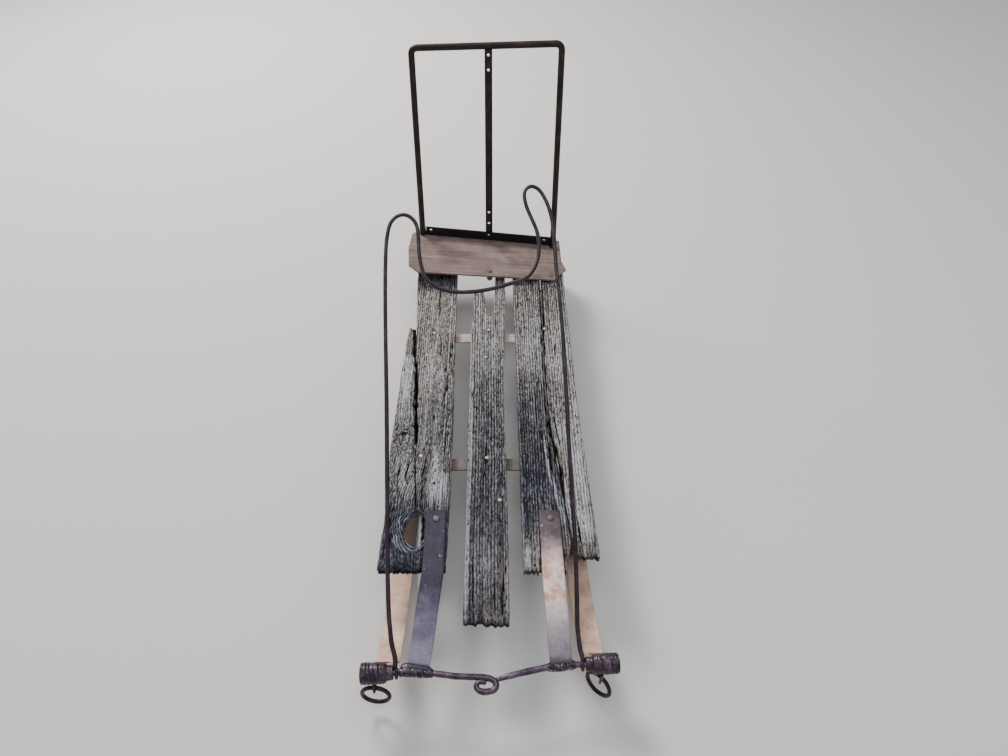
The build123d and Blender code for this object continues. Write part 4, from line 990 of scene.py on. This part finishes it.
# side, x from and to, groove pitch, barrel profile, middle of the eye, its radius and turn, tilt and turn of the ring
COILS = [
    ("left", -239.6, -190.2, 0.0098, [(0, 17.2), (0.03, 18.9), (0.09, 19.6), (0.55, 19.6), (0.80, 19.3), (0.90, 18.4), (0.97, 16.2), (1, 13.6)], (-214.5, 381.4, -67.7), 0.0076, 0.0, 10.6, 4.5),
    ("right", 190.7, 240.6, 0.0115, [(0, 13.8), (0.03, 16.8), (0.09, 18.4), (0.5, 18.8), (0.92, 18.9), (0.98, 18.2), (1, 16.6)], (209.7, 400.4, -71.0), 0.0098, 23.0, 10.0, 46.0),
]
for side, x0, x1, pitch, profile, middle, eye_r, eye_turned, tilt, turn in COILS:
    parts = [turned(x0, x1, profile, 0.0021, pitch, 11 if side == "left" else 23, lump=0.00034, cuts=COIL_CUTS[side]),
             turned(*NECKS[side], 0.0010, 0.0036, 15, seg=56, step=0.0005, inner=0.0119, lump=0.0005, sharp=0.2)]
    pivot = P(*middle)
    w = math.radians(eye_turned)
    v = Vector((-math.sin(w), -math.cos(w), 0))
    parts.append(closed_ring(pivot, v, UP, eye_r - 0.0001, eye_r - 0.0001, 0.0025, 48, 12, 13))
    coil = join_meshes(side + "_coil_wound", parts)
    finish_piece(coil, M["coil"], "sled", [side + "_end_coil"])
    # the ring hangs in the eye, a little out of round
    w, a = math.radians(turn), math.radians(tilt)
    across = Vector((math.cos(w), -math.sin(w), 0))
    forward = Vector((-math.sin(w), -math.cos(w), 0))
    down = -UP * math.cos(a) + forward * math.sin(a)
    ring = join_meshes(side + "_ring_forged", [closed_ring(pivot + down * 0.026, down, across, 0.026, 0.026, 0.00408, 72, 16, 17, 0.00018)])
    finish_piece(ring, M["ring"], side + "_ring", [side + "_ring"])

# straps: flat iron from the boards down to the bar, thinned and rolled round it
# rows: d, under face z, middle x, half width, thickness
STRAPS = {
    "left": [(714.0, 0.2, -113.0, 22.0, 5.0), (640.0, 0.2, -113.0, 22.0, 5.0), (574.0, 0.2, -113.0, 22.0, 5.0), (520.0, -9.0, -119.4, 21.8, 5.0), (452.0, -30.0, -127.5, 21.3, 4.6), (418.0, -36.8, -131.5, 21.0, 3.4)],
    "right": [(714.0, 0.2, 125.0, 22.0, 5.0), (640.0, 0.2, 125.0, 22.0, 5.0), (574.0, 0.2, 125.0, 22.0, 5.0), (520.0, -9.0, 127.4, 21.8, 5.0), (452.0, -30.0, 130.4, 21.3, 4.6), (430.0, -36.0, 131.4, 21.0, 3.4)],
}


def sagged(points):
    """The bar hangs a little forward between its coils and the curl; what is rolled round it goes along."""
    out = []
    for v in points:
        x, d = v.x * 1000.0 + X_MID, v.y * 1000.0 + D_MID
        sag = -3.6 * float(smooth(-158.0, -112.0, x)) if x < 0 else -2.6 * float(smooth(158.0, 128.0, x))
        out.append(v + Vector((0, sag * (1.0 - float(smooth(430.0, 520.0, d))) / 1000.0, 0)))
    return out


def forged_strip(rows, eye_x, eye_t, seed):
    """A flat bar along rows, its end rolled once round the front bar."""
    pts = [(P(x, d, z), half / 1000.0, t / 1000.0, Vector((0, 0, 1))) for d, z, x, half, t in rows]
    line = []
    for i in range(len(pts) - 1):
        a, b = pts[i], pts[i + 1]
        n = max(2, int((b[0] - a[0]).length / 0.0035))
        for k in range(n):
            f = k / n
            line.append([a[0].lerp(b[0], f), a[1] * (1 - f) + b[1] * f, a[2] * (1 - f) + b[2] * f])
    line.append([pts[-1][0], pts[-1][1], pts[-1][2]])
    for _ in range(6):      # the bends are rounded
        soft = [q[0].copy() for q in line]
        for i in range(1, len(line) - 1):
            soft[i] = (line[i - 1][0] + line[i][0] * 2 + line[i + 1][0]) / 4
        for q, p in zip(line, soft):
            q[0] = p
    normals = []
    for i in range(len(line)):
        a, b = line[max(i - 1, 0)][0], line[min(i + 1, len(line) - 1)][0]
        along = (b - a).normalized()
        side = Vector((1, 0, 0))
        normals.append(side.cross(along).normalized() * (1 if side.cross(along).z > 0 else -1))
    c0 = on_bar(eye_x)
    inner = BAR_R + 0.0002
    half_end = line[-1][1]
    for k in range(1, 27):
        ang = math.radians(80.0 - k * 11.5)
        c = on_bar(eye_x)
        line.append([c + (BACK * math.cos(ang) + UP * math.sin(ang)) * inner, half_end, eye_t * (1.0 if k > 3 else 1.0 + 0.2 * (4 - k) / 4)])
        normals.append((BACK * math.cos(ang) + UP * math.sin(ang)).normalized())
    # cross-section: across the width, top then bottom, with rounded edges
    shape = []
    top_u = [-1.0, -0.985, -0.95, -0.8, -0.6, -0.4, -0.2, 0.0, 0.2, 0.4, 0.6, 0.8, 0.95, 0.985, 1.0]
    for u in top_u:
        shape.append((u, 1.0 - 0.30 * max(0.0, (abs(u) - 0.95) / 0.05) ** 2))
    for u in reversed(top_u):
        shape.append((u, 0.30 * max(0.0, (abs(u) - 0.95) / 0.05) ** 2))
    m = len(shape)
    verts, faces = [], []
    for i, (c, half, t) in enumerate(line):
        side = Vector((1, 0, 0)) if i < len(line) - 26 else AXIS
        run = i * 3.5
        for k, (u, v) in enumerate(shape):
            edge = 0.45 * (float(vn2(np.array(run / 17.0), np.array(3.0 if u < 0 else 8.0), seed)) - 0.5) + 0.25 * (float(vn2(np.array(run / 5.0), np.array(1.0 if u < 0 else 6.0), seed + 1)) - 0.5)
            lump = 0.5 * (float(vn2(np.array(u * 3.0 + 9), np.array(run / 26.0), seed + 2)) - 0.5) + 0.22 * (float(vn2(np.array(u * 9.0 + 9), np.array(run / 7.0), seed + 3)) - 0.5)
            bow = 0.35 * (float(vn2(np.array(u + 4), np.array(run / 70.0), seed + 4)) - 0.5)
            high = v * t + (v * lump + bow * (1 if i < len(line) - 26 else 0)) / 1000.0
            verts.append(c + side * (u * (half + edge / 1000.0)) + normals[i] * max(high, 0.0))
    for i in range(len(line) - 1):
        for k in range(m):
            k2 = (k + 1) % m
            faces.append((i * m + k, i * m + k2, (i + 1) * m + k2, (i + 1) * m + k))
    faces.append(tuple(range(m)))
    faces.append(tuple((len(line) - 1) * m + k for k in reversed(range(m))))
    return sagged(verts), faces


for side, eye_x, eye_t, seed in (("left", -133.5, 0.0022, 61), ("right", 132.5, 0.0016, 67)):
    strap = join_meshes(side + "_strap_forged", [forged_strip(STRAPS[side], eye_x, eye_t, seed)])
    finish_piece(strap, M["strap_" + side], "sled", [side + "_top_strap"])

# hammered sleeves where the straps are rolled round the bar, with the lump beside the left one
for side, rows in (
        ("left", [(-168.2, -105.6, 0.0125, 0.0010, [(0, 7.4), (0.03, 8.2), (0.16, 8.4), (0.22, 8.9), (0.5, 9.1), (0.93, 8.9), (0.98, 8.1), (1, 7.0)], 43)]),
        ("right", [(107.4, 158.6, 0.0110, 0.0009, [(0, 7.0), (0.04, 8.1), (0.5, 8.4), (0.93, 8.2), (1, 7.2)], 47)])):
    parts = [turned(x0, x1, profile, groove, pitch, seed, seg=64, step=0.0008, lump=0.00045, lead=-1.0 if side == "left" else 1.0, sharp=0.2, streak=0.0011)
             for x0, x1, pitch, groove, profile, seed in rows]
    wrap = join_meshes(side + "_bar_sleeve", [(sagged(v), f) for v, f in parts])
    finish_piece(wrap, M["wrap"], "sled", ())

# thin wire twisted round the bar beside the left sleeve, its end laid along the strap
wire_pts = [P(-164.5, 405.0, -38.0), P(-164.0, 410.4, -36.2), P(-160, 413.4, -35.0), P(-154, 414.2, -34.2), P(-141, 413.6, -33.6), P(-126, 412.6, -33.4), P(-112, 411.0, -33.8), P(-106.5, 407.0, -35.2)]
wire = join_meshes("left_lashing_wire", [tube_mesh(spline(sagged(wire_pts), 0.002), 0.0011, 8, 0.00012, 200.0, 31)])
finish_piece(wire, M["wire"], "sled", ())

# ------------------------------------------------------------------ hand rod
TILT = math.radians(24.0)
ROD_BACK = Vector((0, math.cos(TILT), math.sin(TILT)))
ROD = [(-175, 20), (-178, 31), (-184, 47), (-189, 78), (-193, 109), (-199, 194), (-207, 350), (-216, 518), (-227, 699), (-233, 822), (-234, 894), (-229, 938), (-217, 958.5),
       (-200, 965.5), (-182, 958.5), (-168, 938), (-162.5, 905), (-160, 870), (-154, 836), (-145, 808), (-129, 789), (-108, 776.5), (-78, 768.5), (-36, 768), (7, 774.5),
       (49, 786.5), (79, 797.5), (97, 817.5), (108, 846), (111, 880), (107, 914), (97, 944), (86, 974), (80, 1003), (83, 1023.5), (96.5, 1033), (113.5, 1024), (126.5, 1001),
       (136, 974), (143, 937), (146, 894), (148.5, 822), (154, 746), (158, 656), (160.5, 548), (162, 445), (164, 366), (166, 290), (168, 215), (167, 123), (166, 71), (168, 40), (170, 22)]


def rod_point(x, run):
    return on_bar(x) + ROD_BACK * (run / 1000.0)


ROD_R, ROD_END_R = 0.0045, 0.0031
WRAP = BAR_R + 0.0003 + ROD_END_R
path = [rod_point(x, run) for x, run in ROD]


def eye_turn(xc, sgn):
    """One turn round the bar, ending on top of it where the arm leaves; shifts sideways as it winds."""
    pts = []
    n = 22
    for k in range(n + 1):
        t = k / n
        ang = math.radians(24.0 + 62.0) - (1 - t) * 2 * math.pi * 1.02
        c = on_bar(xc + sgn * (1 - t) * 3.0 - sgn * 1.5)
        pts.append(round_bar(c, WRAP, ang))
    return pts


left_eye = eye_turn(-174.0, 1.0)
right_eye = eye_turn(173.0, -1.0)
full = left_eye + spline(path, 0.006) + right_eye[::-1]
# ease the step from the eye's top to the arm
soft = [p.copy() for p in full]
for _ in range(3):
    for i in range(18, len(soft) - 18):
        if i < 30 or i > len(soft) - 31:
            soft[i] = (soft[i - 1] + soft[i] * 2 + soft[i + 1]) / 4
run_length = sum((soft[i + 1] - soft[i]).length for i in range(len(soft) - 1))


def hand_radius(t):
    near = min(t, 1 - t) * run_length
    return (ROD_END_R + (ROD_R - ROD_END_R) * float(smooth(0.046, 0.064, near))) * (1.0 + 0.02 * math.sin(40 * t))


hand = join_meshes("hand_rod_bent", [tube_mesh(soft, hand_radius, 14, 0.00022, 120.0, 21)])
finish_piece(hand, M["rod"], "hand_rod", ["hand_rod"])

# ------------------------------------------------------------------ bolts
SLOPE = 0.075


def plate_top(x):
    return (212.0 - x) * SLOPE + 5.0


# the flange's two ends, welded to the uprights of the frame
def flange_end(x0, x1, seed):
    rows = []
    n = 5
    for i in range(n + 1):
        x = x0 + (x1 - x0) * i / n
        face = 1623.9 - 0.0427 * x
        z0 = plate_top(x)
        jag = 0.5 * (float(vn2(np.array(x * 0.4), np.array(2.0), seed)) - 0.5)
        rows.append([P(x, face + 0.1, z0 + 0.4), P(x, face + 0.1, z0 + 14.0), P(x, face + 0.1, z0 + 27.2 + jag), P(x, face + 0.8, z0 + 27.9 + jag),
                     P(x, face + 3.2, z0 + 27.9 + jag), P(x, face + 3.9, z0 + 27.2 + jag), P(x, face + 3.9, z0 + 14.0), P(x, face + 3.9, z0 + 0.4)])
    m = len(rows[0])
    verts = [v for r in rows for v in r]
    faces = [(i * m + k, i * m + (k + 1) % m, (i + 1) * m + (k + 1) % m, (i + 1) * m + k) for i in range(n) for k in range(m)]
    faces.append(tuple(range(m)))
    faces.append(tuple(n * m + k for k in reversed(range(m))))
    return verts, faces


ends = join_meshes("flange_ends", [flange_end(-197.5, -190.9, 71), flange_end(175.6, 184.0, 73)])
finish_piece(ends, M["frame"], "sled", ())


def domed_bolt(x, d, z_head, z_nut, turn, tilt, seed, head=7.3):
    """Forged bolt: a low uneven dome, its shank and a worn square nut whose top is at z_nut."""
    verts, faces = [], []
    seg = 28
    rows = [(0.15, 4.0), (-0.2, head * 0.96), (0.5, head), (1.3, head * 0.985), (2.4, head * 0.88), (3.3, head * 0.68), (3.9, head * 0.42), (4.15, head * 0.16)]
    for z, r in rows:
        for k in range(seg):
            a = 2 * math.pi * k / seg
            rr = r * (1 + 0.035 * math.sin(2 * a + seed) + 0.025 * math.sin(5 * a + 2 * seed))
            zz = z + 0.22 * vn3((rr * math.cos(a), rr * math.sin(a), z), 0.33, seed) + rr * math.cos(a) * tilt
            verts.append(P(x + rr * math.cos(a), d + rr * math.sin(a), z_head + zz))
    for i in range(len(rows) - 1):
        for k in range(seg):
            k2 = (k + 1) % seg
            faces.append((i * seg + k, i * seg + k2, (i + 1) * seg + k2, (i + 1) * seg + k))
    faces.append(tuple(range((len(rows) - 1) * seg, len(rows) * seg)))
    faces.append(tuple(range(seg - 1, -1, -1)))
    parts = [(verts, faces)]
    shank = [P(x, d, z_head + 0.4), P(x, d, (z_head + z_nut) / 2), P(x, d, z_nut - 7.8)]
    parts.append(tube_mesh(spline(shank, 0.002), 0.0039, 16, 0.00012, 150.0, seed))
    # nut: rounded square
    verts, faces = [], []
    rows = [(0.0, 5.4), (-0.3, 6.2), (-1.2, 6.5), (-4.8, 6.5), (-5.7, 6.2), (-6.0, 5.4)]
    for z, half in rows:
        for k in range(seg):
            a = 2 * math.pi * k / seg
            c, q = math.cos(a), math.sin(a)
            r = half / (abs(c) ** 7 + abs(q) ** 7) ** (1 / 7.0)
            r = min(r, half * 1.34)
            b = a + turn
            verts.append(P(x + r * math.cos(b), d + r * math.sin(b), z_nut + z))
    for i in range(len(rows) - 1):
        for k in range(seg):
            k2 = (k + 1) % seg
            faces.append((i * seg + k, i * seg + k2, (i + 1) * seg + k2, (i + 1) * seg + k))
    faces.append(tuple(range((len(rows) - 1) * seg, len(rows) * seg)))
    faces.append(tuple(range(seg - 1, -1, -1)))
    parts.append((verts, faces))
    return parts


# bolts: x, d, under the head, top of the nut, turn of the nut
STRAP_BOLT_ROWS = [(-113.0, 693.0, 5.1, -24.0, 0.2), (126.0, 695.0, 5.1, -24.0, 0.2)]
PLATE_BOLT_ROWS = [(-1.0, 1480.0, plate_top(-1.0) + 0.3, -3.0, math.radians(45)), (174.5, 1477.0, plate_top(174.5) + 0.3, -24.0, 0.0)]
for name, node, rows in (("strap_bolts_forged", "strap_bolts", STRAP_BOLT_ROWS), ("plate_bolts_forged", "plate_bolts", PLATE_BOLT_ROWS)):
    parts = []
    for n, (x, d, z_head, z_nut, turn) in enumerate(rows):
        parts += domed_bolt(x, d, z_head, z_nut, turn, -SLOPE if node == "plate_bolts" else 0.0, 3 + n)
    bolts = join_meshes(name, parts)
    finish_piece(bolts, M["bolt"], "sled", [node])

# ------------------------------------------------------------------ carried-over nodes
CARRIED = {
    "left_runner": "runner_left", "right_runner": "runner_right", "front_crossbar": "crossbar_front", "middle_crossbar": "crossbar_middle", "rear_crossbar": "crossbar_rear",
    "rear_plate": "plate", "rear_angle": "flange", "back_frame": "frame", "back_strip": "frame",
}
for node, key in CARRIED.items():
    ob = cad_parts[node]
    ob.data.materials.clear()
    ob.data.materials.append(M[key])
    if node in ("left_runner", "right_runner", "rear_plate"):
        bevel(ob, 0.0009, 2)

# ------------------------------------------------------------------ floor, light, camera
me = bpy.data.meshes.new("floor")
me.from_pydata([(-9, -9, 0), (9, -9, 0), (9, 9, 0), (-9, 9, 0)], [], [(0, 1, 2, 3)])
floor = bpy.data.objects.new("floor", me)
bpy.context.scene.collection.objects.link(floor)
mat, nt, bsdf = nodes_of("floor_paper", 0.0, 0.9, 0.2)
bsdf.inputs["Base Color"].default_value = (0.74, 0.735, 0.72, 1)
me.materials.append(mat)

world = bpy.data.worlds.new("studio")
bpy.context.scene.world = world
world.use_nodes = True
world.node_tree.nodes["Background"].inputs["Color"].default_value = (0.93, 0.95, 1.0, 1)
world.node_tree.nodes["Background"].inputs["Strength"].default_value = 0.40


def area(name, loc, target, size, power, colour=(1, 1, 1)):
    light = bpy.data.lights.new(name, "AREA")
    light.shape = "RECTANGLE"
    light.size, light.size_y = size
    light.energy = power
    light.color = colour
    ob = bpy.data.objects.new(name, light)
    ob.location = loc
    ob.rotation_euler = (Vector(target) - Vector(loc)).to_track_quat("-Z", "Y").to_euler()
    bpy.context.scene.collection.objects.link(ob)


area("key_back_left", (-1.9, 3.0, 3.0), (0, 0, 0.2), (1.4, 1.4), 215.0, (1.0, 0.965, 0.91))
area("top_soft", (0.2, -0.2, 3.6), (0, 0, 0.2), (3.0, 3.0), 45.0)
area("fill_front", (1.8, -3.2, 2.0), (0, 0, 0.2), (2.5, 2.5), 22.0, (0.90, 0.95, 1.0))

cam_data = bpy.data.cameras.new("camera")
cam_data.sensor_width = 36.0
cam_data.lens = 36.0 * 660.0 / 1008.0
cam_data.shift_x = 14.0 / 1008.0
cam = bpy.data.objects.new("camera", cam_data)
cam.location = P(0, 0, 1232.0)
cam.rotation_euler = (math.radians(90 - 48.5), 0, 0)
cam_data.clip_start = 0.01
bpy.context.scene.collection.objects.link(cam)
bpy.context.scene.camera = cam
